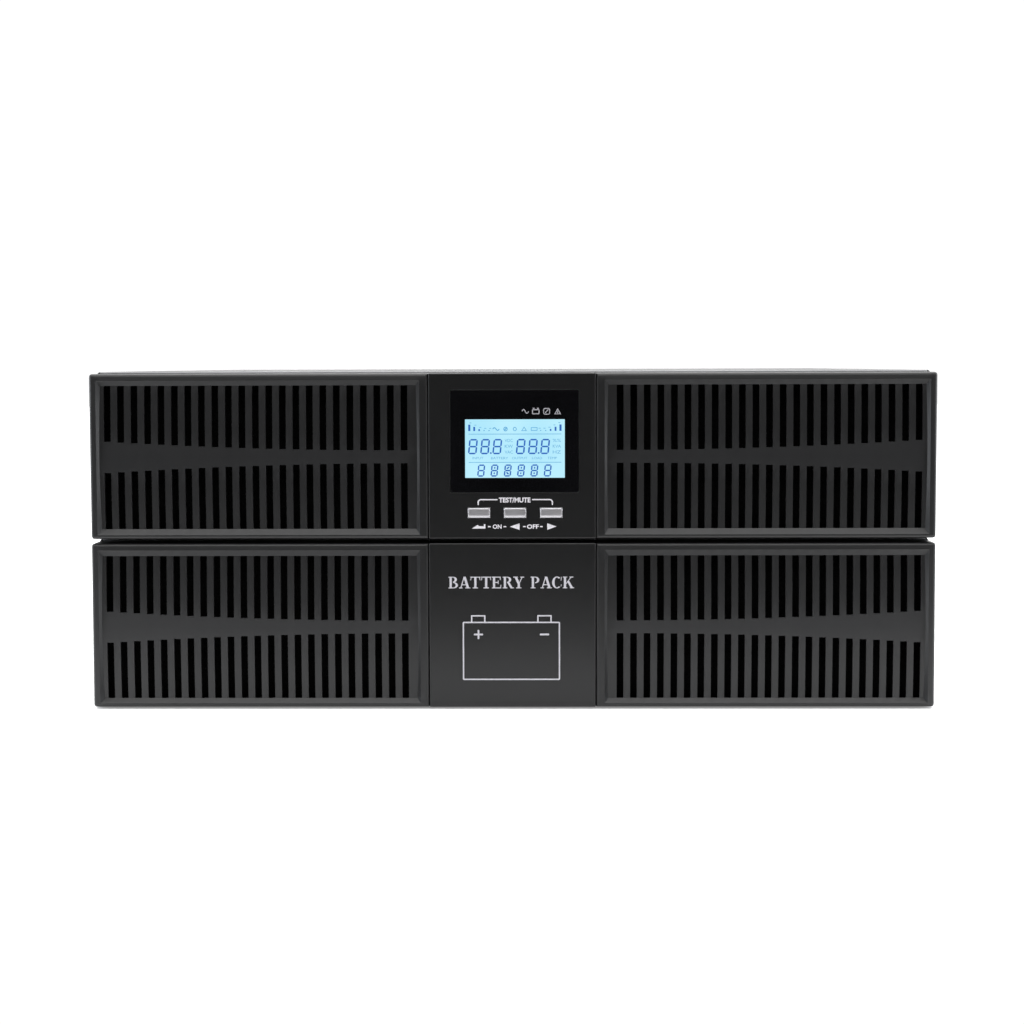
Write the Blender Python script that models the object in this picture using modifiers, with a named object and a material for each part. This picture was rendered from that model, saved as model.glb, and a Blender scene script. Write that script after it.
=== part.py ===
"""A 2U rackmount UPS standing on its 2U external battery pack.

Metres, +Z up, the front faces -Y. Both units are modelled in their own frame, with the chassis bottom
at z = 0, and are placed by their parent empty. The origin is the middle of the footprint.
"""

import math

import bmesh
import bpy
from mathutils import Matrix, Vector

# Whole object
DEPTH = 0.520  # button faces to the ends of the battery connectors
FACE_WIDTH = 0.438
UNIT_PITCH = 0.088  # the upper unit stands this far above the lower one
GAP = 0.0003  # between pieces that touch

# Chassis
CHASSIS_WIDTH = 0.4374
CHASSIS_HEIGHT = UNIT_PITCH - GAP
SHEET = 0.0012
BEND_RADIUS = 0.0018
TRAY_FLANGE = 0.014
AIR_OPENINGS = 10  # upright slots each side of the front wall
AIR_OPENING_START = 0.066
AIR_OPENING_PITCH = 0.0155
AIR_OPENING_SIZE = (0.0035, 0.01, 0.055)
SIDE_VENTS = 10
SIDE_VENT_PITCH = 0.0075
SIDE_VENT_SIZE = (0.0032, 0.046)
REAR_FACE = 0.250

# Front bezels
BUTTON_PROUD = 0.0006
FACE_Y = -DEPTH / 2 + BUTTON_PROUD
BEZEL_DEPTH = 0.020
BEZEL_HEIGHT = 0.0857
BEZEL_WALL = 0.002
BEZEL_LOW = (CHASSIS_HEIGHT - BEZEL_HEIGHT) / 2
BEZEL_HIGH = BEZEL_LOW + BEZEL_HEIGHT
FACE_ROUNDING = 0.0007
CORNER_ROUNDING = 0.0013  # the grilles' outer corners, seen from the front
PANEL_WIDTH = 0.086  # the square centre piece
SEAM = 0.0006
CHASSIS_FRONT = FACE_Y + BEZEL_DEPTH + GAP
MID_HEIGHT = CHASSIS_HEIGHT / 2

# Grille recess: a floor that bows forward at mid-height, inside a bevelled border
BORDER_TOP = 0.0030
BORDER_BOTTOM = 0.0021
BORDER_OUTER = 0.0035
BORDER_INNER = 0.0045
FLOOR_MARGIN = 0.0052  # from the bezel's top and bottom edges to the floor
BEVEL_SIDE = 0.0019
RECESS_DEPTH = 0.0026
RECESS_DEPTH_MIDDLE = 0.0008
FLOOR_STEPS = 6
GRILLE_THICKNESS = 0.0022

# Grille slots
SLOT_COUNT = 23
SLOT_PITCH = 0.0070
SLOT_WIDTH = 0.0035
SLOT_MARGIN = 0.0091  # outer edge of the bezel to the first slot's centre
SLOT_END_MARGIN = 0.0054
BAND_HALF_OUTER = 0.0081  # half height of the plain band at the outermost slot
BAND_HALF_INNER = 0.0040

# Display
WINDOW_WIDTH = 0.0663
WINDOW_HEIGHT = 0.0529
WINDOW_BELOW_TOP = 0.0087
WINDOW_X = 0.0013
WINDOW_THICKNESS = 0.0012
HOUSING_FRONT = 0.0026
LCD_WIDTH = 0.0515
LCD_HEIGHT = 0.0302
LCD_X = 0.0015
LCD_CENTRE_ABOVE = 0.0467  # above the bezel's bottom edge
LCD_FRAME_SIZE = (0.058, 0, 0.039)
BUTTON_WIDTH = 0.0115
BUTTON_HEIGHT = 0.0053
BUTTON_PITCH = 0.0187
MIDDLE_BUTTON_X = 0.0015
BUTTON_ABOVE = 0.0134  # above the bezel's bottom edge
BUTTON_CLEARANCE = 0.0003
BUTTON_TRAVEL = 0.0008
BOARD_BEHIND_FACE = 0.0105
RAIL_LENGTH = 0.022  # behind the display's housing
RAIL_ROOT = 0.010  # inside it
RAIL_HEIGHT = 0.040
RAIL_THICKNESS = 0.0016

# Batteries, lying on their sides
BATTERY_LENGTH = 0.151
BATTERY_WIDTH = 0.094
BATTERY_HEIGHT = 0.065
TERMINAL = 0.0055
BATTERY_PITCH_X = 0.1005
BATTERY_PITCH_Y = 0.152
PACK_BATTERY_FRONT = CHASSIS_FRONT + 0.004
UPS_BATTERY_FRONT = CHASSIS_FRONT + RAIL_LENGTH + 0.003  # clear of the display's guide rails
STRAP_WIDTH = 0.030

# Fans
FAN_SIZE = 0.080
FAN_DEPTH = 0.025
FAN_BORE = 0.038
FAN_HUB = 0.0185
ROTOR_HUB = 0.0175
ROTOR_TIP = 0.0366
ROTOR_LENGTH = 0.0180
BLADES = 7
FAN_X = (-0.166, -0.082)
FAN_HOLE_PITCH = 0.0715
GUARD_WIRE = 0.0009
GUARD_RINGS = (0.0130, 0.0255, 0.0380)

# Rear sockets of the UPS
OUTLETS_X = 0.0195
OUTLETS_Z = (0.0640, 0.0240)
OUTLET_PITCH = 0.0270
OUTLETS_PER_STRIP = 4
OUTLET_SIZE = (0.0255, 0.0180)
OUTLET_ISLAND = (0.0195, 0.0120)
CONTACT_SLOTS = ((-0.006, -0.0012), (0.006, -0.0012), (0.0, 0.0018))
SOCKET_DEPTH = 0.0160
CORNER_CUT = 0.0040
FLANGE = 0.0022
SOCKET_BODY_DEPTH = 0.0220
INLET_X = 0.1010
INLET_Z = 0.0690
INLET_SIZE = (0.0250, 0.0180)
INLET_PINS = ((-0.007, -0.002), (0.007, -0.002), (0.0, 0.004))
BREAKER_Z = 0.0440
CONNECTOR_Z = 0.0190
COMMS_X = 0.1680
COMMS_COVER_Z = 0.0600
COMMS_PORTS_Z = 0.0215

# Battery connectors
CONNECTOR_WIDTH = 0.0360
CONNECTOR_HEIGHT = 0.0180
CONNECTOR_CAVITY = (0.0145, 0.0140)
CONNECTOR_DEPTH = 0.0200

# DC breaker of the battery pack
DC_BREAKER_X = 0.0900
DC_BREAKER_BODY = (0.085, 0.050, 0.036)
DC_BREAKER_FACE = (0.045, 0.0355)
DC_BREAKER_PROUD = 0.0020
LEVER_HUB = 0.0050
LEVER_LENGTH = 0.0135
LEVER_HEIGHT = 0.0260
LEVER_REST = math.radians(35)
PACK_CONNECTORS_X = (-0.160, -0.090)

FINISHES = {  # linear colour, roughness, metallic
    "bezel": ((0.022, 0.022, 0.023), 0.45, 0.0),
    "sheet": ((0.020, 0.020, 0.021), 0.50, 0.3),
    "window": ((0.004, 0.004, 0.005), 0.08, 0.0),
    "lcd": ((0.30, 0.75, 0.95), 0.30, 0.0),
    "button": ((0.36, 0.34, 0.36), 0.35, 0.0),
    "board": ((0.02, 0.13, 0.05), 0.45, 0.0),
    "aluminium": ((0.70, 0.70, 0.71), 0.35, 1.0),
    "zinc": ((0.62, 0.62, 0.60), 0.35, 1.0),
    "copper": ((0.72, 0.30, 0.12), 0.35, 1.0),
    "sleeve": ((0.015, 0.020, 0.060), 0.35, 0.0),
    "battery": ((0.060, 0.062, 0.066), 0.50, 0.0),
    "fan": ((0.012, 0.012, 0.012), 0.45, 0.0),
    "wire": ((0.65, 0.65, 0.65), 0.20, 1.0),
    "socket": ((0.015, 0.015, 0.015), 0.40, 0.0),
    "connector": ((0.16, 0.16, 0.17), 0.50, 0.0),
    "breaker": ((0.50, 0.50, 0.48), 0.45, 0.0),
    "lever": ((0.02, 0.02, 0.02), 0.40, 0.0),
}


# Scene and modelling helpers


def clear_scene():
    for obj in list(bpy.data.objects):
        bpy.data.objects.remove(obj, do_unlink=True)


def new_collection(name):
    collection = bpy.data.collections.new(name)
    bpy.context.scene.collection.children.link(collection)
    return collection


def empty_at(name, location, parent=None):
    empty = bpy.data.objects.new(name, None)
    PARTS.objects.link(empty)
    empty.parent = parent
    empty.location = location
    return empty


def finish_for(name, kind):
    colour, roughness, metallic = FINISHES[kind]
    material = bpy.data.materials.new(name + "_finish")
    material.use_nodes = True
    shader = material.node_tree.nodes["Principled BSDF"]
    shader.inputs["Base Color"].default_value = (*colour, 1.0)
    shader.inputs["Roughness"].default_value = roughness
    shader.inputs["Metallic"].default_value = metallic
    return material


def object_from(name, bm, collection, parent):
    bmesh.ops.recalc_face_normals(bm, faces=bm.faces)
    mesh = bpy.data.meshes.new(name)
    bm.to_mesh(mesh)
    bm.free()
    obj = bpy.data.objects.new(name, mesh)
    collection.objects.link(obj)
    obj.parent = parent
    return obj


def part(name, bm, kind, parent):
    obj = object_from(name, bm, PARTS, parent)
    obj.data.materials.append(finish_for(name, kind))
    return obj


def combine(obj, bm, operation):
    """Cut or join a closed mesh, or several that stand apart, with an object."""
    tool_name = f"{obj.name}_{operation.lower()}_{len(obj.modifiers)}"
    tool = object_from(tool_name, bm, CUTTERS, obj.parent)
    tool.location = obj.location
    tool.hide_render = True
    tool.display_type = "WIRE"
    modifier = obj.modifiers.new(tool_name, "BOOLEAN")
    modifier.operation = operation
    modifier.solver = "EXACT"
    modifier.object = tool


def cut(obj, bm):
    combine(obj, bm, "DIFFERENCE")


def join(obj, bm):
    combine(obj, bm, "UNION")


def add_box(bm, low, high):
    low = Vector(low)
    high = Vector(high)
    verts = bmesh.ops.create_cube(bm, size=1.0)["verts"]
    bmesh.ops.scale(bm, vec=high - low, verts=verts)
    bmesh.ops.translate(bm, vec=(high + low) / 2, verts=verts)
    return verts


def boxes(*corners):
    bm = bmesh.new()
    for low, high in corners:
        add_box(bm, low, high)
    return bm


def centred(centre, size):
    """The low and high corner of a box given by its middle and its size."""
    centre = Vector(centre)
    half = Vector(size) / 2
    return centre - half, centre + half


def add_cylinder(bm, centre, radius, length, axis="Y", sides=32):
    turns = {"X": ("Y", math.pi / 2), "Y": ("X", math.pi / 2), "Z": ("Z", 0.0)}
    about, angle = turns[axis]
    place = Matrix.Translation(centre) @ Matrix.Rotation(angle, 4, about)
    bmesh.ops.create_cone(
        bm, cap_ends=True, segments=sides, radius1=radius, radius2=radius, depth=length, matrix=place
    )


def cylinders(centres, radius, length, axis="Y", sides=32):
    bm = bmesh.new()
    for centre in centres:
        add_cylinder(bm, centre, radius, length, axis, sides)
    return bm


def add_prism(bm, outline, start, end):
    """A prism on an outline of (x, z) points, from y = start to y = end."""
    face = bm.faces.new([bm.verts.new((x, start, z)) for x, z in outline])
    grown = bmesh.ops.extrude_face_region(bm, geom=[face])["geom"]
    far_side = [item for item in grown if isinstance(item, bmesh.types.BMVert)]
    bmesh.ops.translate(bm, vec=(0, end - start, 0), verts=far_side)
    return far_side


def round_front_edges(bm, radius):
    """Round the edges around a box's front face."""
    front = min(vert.co.y for vert in bm.verts)
    edges = [edge for edge in bm.edges if all(abs(v.co.y - front) < 1e-6 for v in edge.verts)]
    bmesh.ops.bevel(bm, geom=edges, offset=radius, segments=2, profile=0.5, affect="EDGES")


def round_outer_corners(bm, side, radius):
    """Round a box's two long edges, along Y, at its left (-1) or right (1) side."""
    outer = max(side * vert.co.x for vert in bm.verts)
    edges = []
    for edge in bm.edges:
        along_y = abs(edge.verts[0].co.y - edge.verts[1].co.y) > 1e-6
        if along_y and all(abs(side * v.co.x - outer) < 1e-6 for v in edge.verts):
            edges.append(edge)
    bmesh.ops.bevel(bm, geom=edges, offset=radius, segments=3, profile=0.5, affect="EDGES")


def cut_corner_outline(centre, size, corner):
    """A rectangle in x and z whose two upper corners are cut off at 45 degrees."""
    x, z = centre
    half_x, half_z = size[0] / 2, size[1] / 2
    return [
        (x - half_x, z - half_z),
        (x + half_x, z - half_z),
        (x + half_x, z + half_z - corner),
        (x + half_x - corner, z + half_z),
        (x - half_x + corner, z + half_z),
        (x - half_x, z + half_z - corner),
    ]


def slot_outline(centre, width, height, steps=2):
    """An upright slot with round ends, as (y, z) points."""
    y, z = centre
    radius = width / 2
    points = []
    for end, start_angle in ((1, 0.0), (-1, math.pi)):
        middle = z + end * (height / 2 - radius)
        for step in range(steps + 1):
            angle = start_angle + math.pi * step / steps
            points.append((y + radius * math.cos(angle), middle + radius * math.sin(angle)))
    return points


# Chassis


def base_tray(unit, name, rails=False):
    """Floor, low side flanges and a full-height front wall with air openings, bent from one sheet."""
    half = CHASSIS_WIDTH / 2 - SHEET - GAP
    top = CHASSIS_HEIGHT - SHEET - GAP
    inside = CHASSIS_FRONT + SHEET
    tray = part(name, boxes(((-half, CHASSIS_FRONT, 0), (half, REAR_FACE, top))), "sheet", unit)
    cut(tray, boxes(((-half + SHEET, inside, SHEET), (half - SHEET, REAR_FACE + 0.01, top + 0.01))))
    cut(tray, boxes(((-half - 0.01, inside, TRAY_FLANGE), (half + 0.01, REAR_FACE + 0.01, top + 0.01))))
    openings = []
    for side in (-1, 1):
        for column in range(AIR_OPENINGS):
            x = side * (AIR_OPENING_START + AIR_OPENING_PITCH * column)
            openings.append(centred((x, CHASSIS_FRONT, MID_HEIGHT), AIR_OPENING_SIZE))
    if rails:
        x = PANEL_WIDTH / 2 - BEZEL_WALL / 2
        for side in (-1, 1):
            size = (RAIL_THICKNESS + 2 * GAP, 0.01, RAIL_HEIGHT + 2 * GAP)
            openings.append(centred((side * x, CHASSIS_FRONT, MID_HEIGHT), size))
    cut(tray, boxes(*openings))
    return tray


def top_cover(unit, name, vent_groups):
    """Top and both sides, bent from one sheet, with upright vent slots through the sides."""
    bm = bmesh.new()
    half = CHASSIS_WIDTH / 2
    add_box(bm, (-half, CHASSIS_FRONT, 0), (half, REAR_FACE, CHASSIS_HEIGHT))
    keep = ((0, 0, 1), (1, 0, 0), (-1, 0, 0))
    opened = [face for face in bm.faces if not any(face.normal.dot(Vector(k)) > 0.9 for k in keep)]
    bmesh.ops.delete(bm, geom=opened, context="FACES")
    bends = [edge for edge in bm.edges if len(edge.link_faces) == 2]
    bmesh.ops.bevel(bm, geom=bends, offset=BEND_RADIUS, segments=3, profile=0.5, affect="EDGES")
    cover = part(name, bm, "sheet", unit)
    sheet = cover.modifiers.new("sheet", "SOLIDIFY")
    sheet.thickness = SHEET
    sheet.offset = -1
    sheet.use_even_offset = True
    slots = bmesh.new()
    for first_y in vent_groups:
        for index in range(SIDE_VENTS):
            outline = slot_outline((first_y + SIDE_VENT_PITCH * index, MID_HEIGHT), *SIDE_VENT_SIZE)
            add_prism(slots, outline, -CHASSIS_WIDTH, CHASSIS_WIDTH)
    quarter_turn = Matrix.Rotation(math.pi / 2, 3, "Z")
    bmesh.ops.rotate(slots, cent=(0, 0, 0), matrix=quarter_turn, verts=slots.verts)
    cut(cover, slots)
    return cover


def rear_panel(unit, name):
    half = CHASSIS_WIDTH / 2 - 2 * SHEET - 2 * GAP
    low = (-half, REAR_FACE - SHEET, SHEET + GAP)
    high = (half, REAR_FACE, CHASSIS_HEIGHT - SHEET - GAP)
    return part(name, boxes((low, high)), "sheet", unit)


def panel_hole(centre, size):
    """A cut-out in a rear panel for a piece of this size, as box corners."""
    x, z = centre
    return centred((x, REAR_FACE, z), (size[0] + 2 * GAP, 0.01, size[1] + 2 * GAP))


# Front bezels


def recess_profile():
    """The recess as (y, z) points: in front of the face, down the bevels and along the bowed floor."""
    front = FACE_Y - 0.001
    floor_low = BEZEL_LOW + FLOOR_MARGIN
    floor_high = BEZEL_HIGH - FLOOR_MARGIN
    bottom_slope = (FLOOR_MARGIN - BORDER_BOTTOM) / RECESS_DEPTH
    top_slope = (FLOOR_MARGIN - BORDER_TOP) / RECESS_DEPTH
    points = [(front, BEZEL_LOW + BORDER_BOTTOM - 0.001 * bottom_slope)]
    for step in range(FLOOR_STEPS + 1):
        along = step / FLOOR_STEPS
        bow = 1 - (2 * along - 1) ** 2
        depth = RECESS_DEPTH - (RECESS_DEPTH - RECESS_DEPTH_MIDDLE) * bow
        points.append((FACE_Y + depth, floor_low + (floor_high - floor_low) * along))
    points.append((front, BEZEL_HIGH - BORDER_TOP + 0.001 * top_slope))
    return points


def recess_cutter(low_x, high_x):
    """The recess between two side borders, whose side bevels lean in with depth."""
    bm = bmesh.new()
    face = bm.faces.new([bm.verts.new((low_x, y, z)) for y, z in recess_profile()])
    grown = bmesh.ops.extrude_face_region(bm, geom=[face])["geom"]
    far_side = [item for item in grown if isinstance(item, bmesh.types.BMVert)]
    bmesh.ops.translate(bm, vec=(high_x - low_x, 0, 0), verts=far_side)
    middle = (low_x + high_x) / 2
    for vert in bm.verts:
        lean = (vert.co.y - FACE_Y) * BEVEL_SIDE / RECESS_DEPTH
        vert.co.x += lean if vert.co.x < middle else -lean
    return bm


def slot_boxes(side):
    """Two rows of slots, whose inner ends follow the curve of the band between them."""
    corners = []
    outer = side * FACE_WIDTH / 2
    middle = (BEZEL_LOW + BEZEL_HIGH) / 2
    for index in range(SLOT_COUNT):
        along = index / (SLOT_COUNT - 1)
        band = BAND_HALF_INNER + (BAND_HALF_OUTER - BAND_HALF_INNER) * (1 - along) ** 2
        x = outer - side * (SLOT_MARGIN + SLOT_PITCH * index)
        for low, high in (
            (BEZEL_LOW + SLOT_END_MARGIN, middle - band),
            (middle + band, BEZEL_HIGH - SLOT_END_MARGIN),
        ):
            size = (SLOT_WIDTH, 0.03, high - low)
            corners.append(centred((x, FACE_Y, (low + high) / 2), size))
    return corners


def bezel_shell(name, low_x, high_x, thickness, unit, outer_side=0):
    """A moulded box open at the back, with its front edges and its outer corners rounded."""
    back = FACE_Y + BEZEL_DEPTH
    bm = boxes(((low_x, FACE_Y, BEZEL_LOW), (high_x, back, BEZEL_HIGH)))
    if outer_side:
        round_outer_corners(bm, outer_side, CORNER_ROUNDING)
    round_front_edges(bm, FACE_ROUNDING)
    shell = part(name, bm, "bezel", unit)
    pocket_low = (low_x + BEZEL_WALL, FACE_Y + thickness, BEZEL_LOW + BEZEL_WALL)
    pocket_high = (high_x - BEZEL_WALL, back + 0.01, BEZEL_HIGH - BEZEL_WALL)
    cut(shell, boxes((pocket_low, pocket_high)))
    return shell


def grille(unit, name, side):
    outer = side * FACE_WIDTH / 2
    inner = side * (PANEL_WIDTH / 2 + SEAM)
    low_x, high_x = min(outer, inner), max(outer, inner)
    shell = bezel_shell(name, low_x, high_x, RECESS_DEPTH + GRILLE_THICKNESS, unit, side)
    borders = (BORDER_OUTER, BORDER_INNER) if side < 0 else (BORDER_INNER, BORDER_OUTER)
    cut(shell, recess_cutter(low_x + borders[0], high_x - borders[1]))
    cut(shell, boxes(*slot_boxes(side)))
    return shell


# Display


def button_x(index):
    return (index - 1) * BUTTON_PITCH + MIDDLE_BUTTON_X


def display(unit):
    """The square centre piece that pulls out: housing, window, LCD, board and buttons."""
    half = PANEL_WIDTH / 2
    housing = bezel_shell("display_housing", -half, half, HOUSING_FRONT, unit)
    window_high = BEZEL_HIGH - WINDOW_BELOW_TOP
    window_middle = (WINDOW_X, FACE_Y, window_high - WINDOW_HEIGHT / 2)
    seat_depth = WINDOW_THICKNESS + GAP
    seat = (WINDOW_WIDTH + 2 * GAP, 2 * seat_depth, WINDOW_HEIGHT + 2 * GAP)
    cut(housing, boxes(centred(window_middle, seat)))
    lcd_z = BEZEL_LOW + LCD_CENTRE_ABOVE
    aperture = (LCD_WIDTH + 0.0016, 0.02, LCD_HEIGHT + 0.0016)
    button_z = BEZEL_LOW + BUTTON_ABOVE
    hole = (BUTTON_WIDTH + 2 * BUTTON_CLEARANCE, 0.02, BUTTON_HEIGHT + 2 * BUTTON_CLEARANCE)
    holes = [centred((LCD_X, FACE_Y, lcd_z), aperture)]
    holes += [centred((button_x(index), FACE_Y, button_z), hole) for index in range(3)]
    cut(housing, boxes(*holes))
    back = FACE_Y + BEZEL_DEPTH
    rail = (RAIL_THICKNESS, RAIL_ROOT + RAIL_LENGTH, RAIL_HEIGHT)
    rail_x = half - BEZEL_WALL / 2
    rail_y = back + (RAIL_LENGTH - RAIL_ROOT) / 2
    join(housing, boxes(*(centred((side * rail_x, rail_y, MID_HEIGHT), rail) for side in (-1, 1))))
    window_size = (WINDOW_WIDTH, WINDOW_THICKNESS, WINDOW_HEIGHT)
    window_centre = Vector(window_middle) + Vector((0, WINDOW_THICKNESS / 2, 0))
    part("display_window", boxes(centred(window_centre, window_size)), "window", unit)
    lcd_front = FACE_Y + WINDOW_THICKNESS + GAP
    lcd_back = FACE_Y + HOUSING_FRONT + GAP
    face = centred((LCD_X, 0, lcd_z), (LCD_WIDTH + 0.0008, 0, LCD_HEIGHT + 0.0008))
    frame = centred((LCD_X, 0, lcd_z), LCD_FRAME_SIZE)
    face[0].y, face[1].y = lcd_front, lcd_back + 0.001
    frame[0].y, frame[1].y = lcd_back, lcd_back + 0.0045
    lcd = part("lcd_module", boxes(frame), "lcd", unit)
    join(lcd, boxes(face))
    board_low = (-0.037, FACE_Y + BOARD_BEHIND_FACE, BEZEL_LOW + 0.005)
    board_high = (0.037, FACE_Y + BOARD_BEHIND_FACE + 0.0016, BEZEL_HIGH - 0.006)
    part("display_board", boxes((board_low, board_high)), "board", unit)
    for index, name in enumerate(("enter_button", "back_button", "forward_button")):
        push_button(unit, name, (button_x(index), button_z))


def push_button(unit, name, centre):
    """Cap, flange and stem as one moulding, with its origin at the middle of the cap's face."""
    x, z = centre
    cap_depth = BUTTON_PROUD + HOUSING_FRONT + GAP
    bm = boxes(centred((0, cap_depth / 2, 0), (BUTTON_WIDTH, cap_depth, BUTTON_HEIGHT)))
    round_front_edges(bm, 0.0004)
    button = part(name, bm, "button", unit)
    button.location = (x, FACE_Y - BUTTON_PROUD, z)
    flange = (BUTTON_WIDTH + 0.0016, 0.0010, BUTTON_HEIGHT + 0.0016)
    join(button, boxes(centred((0, cap_depth + 0.0004, 0), flange)))
    stem_end = BUTTON_PROUD + BOARD_BEHIND_FACE - GAP - BUTTON_TRAVEL
    join(button, boxes(((-0.0015, cap_depth, -0.0015), (0.0015, stem_end, 0.0015))))


def centre_panel(unit):
    half = PANEL_WIDTH / 2
    bezel_shell("pack_centre_panel", -half, half, HOUSING_FRONT, unit)


# Batteries


def battery(unit, name, low_x, low_y):
    """A block on its side: case, lid and two blade terminals that face +X."""
    floor = SHEET + GAP
    lid = 0.012
    high = Vector((low_x + BATTERY_WIDTH, low_y + BATTERY_LENGTH, floor + BATTERY_HEIGHT))
    block = part(name, boxes(((low_x, low_y, floor), high - Vector((lid, 0, 0)))), "battery", unit)
    inset = 0.0006
    lid_low = (high.x - lid - 0.002, low_y + inset, floor + inset)
    join(block, boxes((lid_low, high - Vector((0, inset, inset)))))
    terminal_z = floor + BATTERY_HEIGHT - 0.014
    blades = [
        centred((low_x + BATTERY_WIDTH, y, terminal_z), (2 * TERMINAL, 0.0063, 0.0008))
        for y in (low_y + 0.008, low_y + BATTERY_LENGTH - 0.008)
    ]
    join(block, boxes(*blades))


def battery_rows(unit, prefix, columns, first_x, front):
    """Two rows of blocks, with a strap over the front row that has a leg at each end."""
    number = 1
    for row in range(2):
        for column in range(columns):
            x = first_x + BATTERY_PITCH_X * column
            battery(unit, f"{prefix}_{number}", x, front + BATTERY_PITCH_Y * row)
            number += 1
    clearance = 0.0010
    low = (first_x - clearance, front + 0.060, SHEET + GAP)
    high_x = first_x + BATTERY_PITCH_X * columns + clearance
    top = SHEET + GAP + BATTERY_HEIGHT + GAP
    bm = boxes((low, (high_x, low[1] + STRAP_WIDTH, top)))
    opened = [face for face in bm.faces if abs(face.normal.y) > 0.9 or face.normal.z < -0.9]
    bmesh.ops.delete(bm, geom=opened, context="FACES")
    bracket = part(f"{prefix}_bracket", bm, "zinc", unit)
    sheet = bracket.modifiers.new("sheet", "SOLIDIFY")
    sheet.thickness = SHEET
    sheet.offset = 1
    sheet.use_even_offset = True


# Power electronics


def comb_outline(centre_x, low_z, width, height, fins):
    """A heatsink's section: a flat base with upright fins, as (x, z) points."""
    base = 0.006
    fin = 0.0018
    left = centre_x - width / 2
    pitch = (width - fin) / (fins - 1)
    points = [(left + width, low_z), (left, low_z)]
    for index in range(fins):
        x = left + pitch * index
        points += [(x, low_z + height), (x + fin, low_z + height)]
        if index < fins - 1:
            points += [(x + fin, low_z + base), (x + pitch, low_z + base)]
    return points


def add_torus(bm, centre, ring, tube, ring_steps, tube_steps, axis="Z"):
    """A ring swept around an upright or fore-and-aft axis from one circle of points."""
    circle = bmesh.ops.create_circle(bm, cap_ends=False, radius=tube, segments=tube_steps)["verts"]
    bmesh.ops.rotate(bm, cent=(0, 0, 0), matrix=Matrix.Rotation(math.pi / 2, 3, "X"), verts=circle)
    bmesh.ops.translate(bm, vec=(ring, 0, 0), verts=circle)
    edges = list({edge for vert in circle for edge in vert.link_edges})
    before = set(bm.verts) - set(circle)
    bmesh.ops.spin(
        bm, geom=circle + edges, cent=(0, 0, 0), axis=(0, 0, 1), angle=2 * math.pi,
        steps=ring_steps, use_merge=True, use_duplicate=False,
    )
    made = [vert for vert in bm.verts if vert not in before]
    if axis == "Y":
        bmesh.ops.rotate(bm, cent=(0, 0, 0), matrix=Matrix.Rotation(math.pi / 2, 3, "X"), verts=made)
    bmesh.ops.translate(bm, vec=centre, verts=made)


def power_electronics(unit, tray):
    board_low = Vector((0.002, -0.200, 0.0090))
    board_high = Vector((0.210, 0.200, 0.0106))
    part("power_board", boxes((board_low, board_high)), "board", unit)
    post_height = board_low.z - GAP - SHEET
    posts = [
        (x, y, SHEET - 0.0002 + post_height / 2)
        for x in (board_low.x + 0.008, board_high.x - 0.008)
        for y in (board_low.y + 0.008, board_high.y - 0.008)
    ]
    join(tray, cylinders(posts, 0.003, post_height + 0.0002, "Z", 10))
    top = board_high.z + GAP
    for name, front in (("rectifier_heatsink", -0.150), ("inverter_heatsink", 0.020)):
        bm = bmesh.new()
        add_prism(bm, comb_outline(0.050, top, 0.060, 0.050, 9), front, front + 0.150)
        part(name, bm, "aluminium", unit)
    for index, x in enumerate((0.115, 0.155), start=1):
        can = cylinders([(x, -0.165, top + 0.025)], 0.0175, 0.050, "Z", 28)
        part(f"bus_capacitor_{index}", can, "sleeve", unit)
    for name, y in (("input_choke", -0.095), ("output_choke", -0.030)):
        bm = bmesh.new()
        add_torus(bm, (0.140, y, top + 0.0104), 0.0190, 0.0102, 18, 8)
        part(name, bm, "copper", unit)
    control_low = (0.1850, 0.020, top)
    part("control_board", boxes((control_low, (0.1866, 0.170, top + 0.060))), "board", unit)


# Fans


def fan(unit, side_name, x):
    frame_name = f"{side_name}_fan_frame"
    back = REAR_FACE - SHEET - GAP
    centre = (x, back - FAN_DEPTH / 2, MID_HEIGHT)
    frame = part(frame_name, boxes(centred(centre, (FAN_SIZE, FAN_DEPTH, FAN_SIZE))), "fan", unit)
    bevel = frame.modifiers.new("corners", "BEVEL")
    bevel.width = 0.0025
    bevel.segments = 2
    bevel.limit_method = "ANGLE"
    cut(frame, cylinders([centre], FAN_BORE, FAN_DEPTH * 2, "Y", 40))
    front = back - FAN_DEPTH
    join(frame, cylinders([(x, front + 0.0015, MID_HEIGHT)], FAN_HUB, 0.003, "Y", 28))
    struts = bmesh.new()
    strut_low = (FAN_HUB - 0.0015, front + 0.0002, -0.002)
    strut_high = (FAN_BORE + 0.0015, front + 0.0028, 0.002)
    for index in range(3):
        turn = Matrix.Rotation(math.radians(90 + 120 * index), 3, "Y")
        verts = add_box(struts, strut_low, strut_high)
        bmesh.ops.rotate(struts, cent=(0, 0, 0), matrix=turn, verts=verts)
        bmesh.ops.translate(struts, vec=(x, 0, MID_HEIGHT), verts=verts)
    join(frame, struts)
    rotor(unit, f"{side_name}_fan_rotor", (x, front + 0.0045 + ROTOR_LENGTH / 2, MID_HEIGHT))
    guard(unit, f"{side_name}_fan_guard", x)


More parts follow.
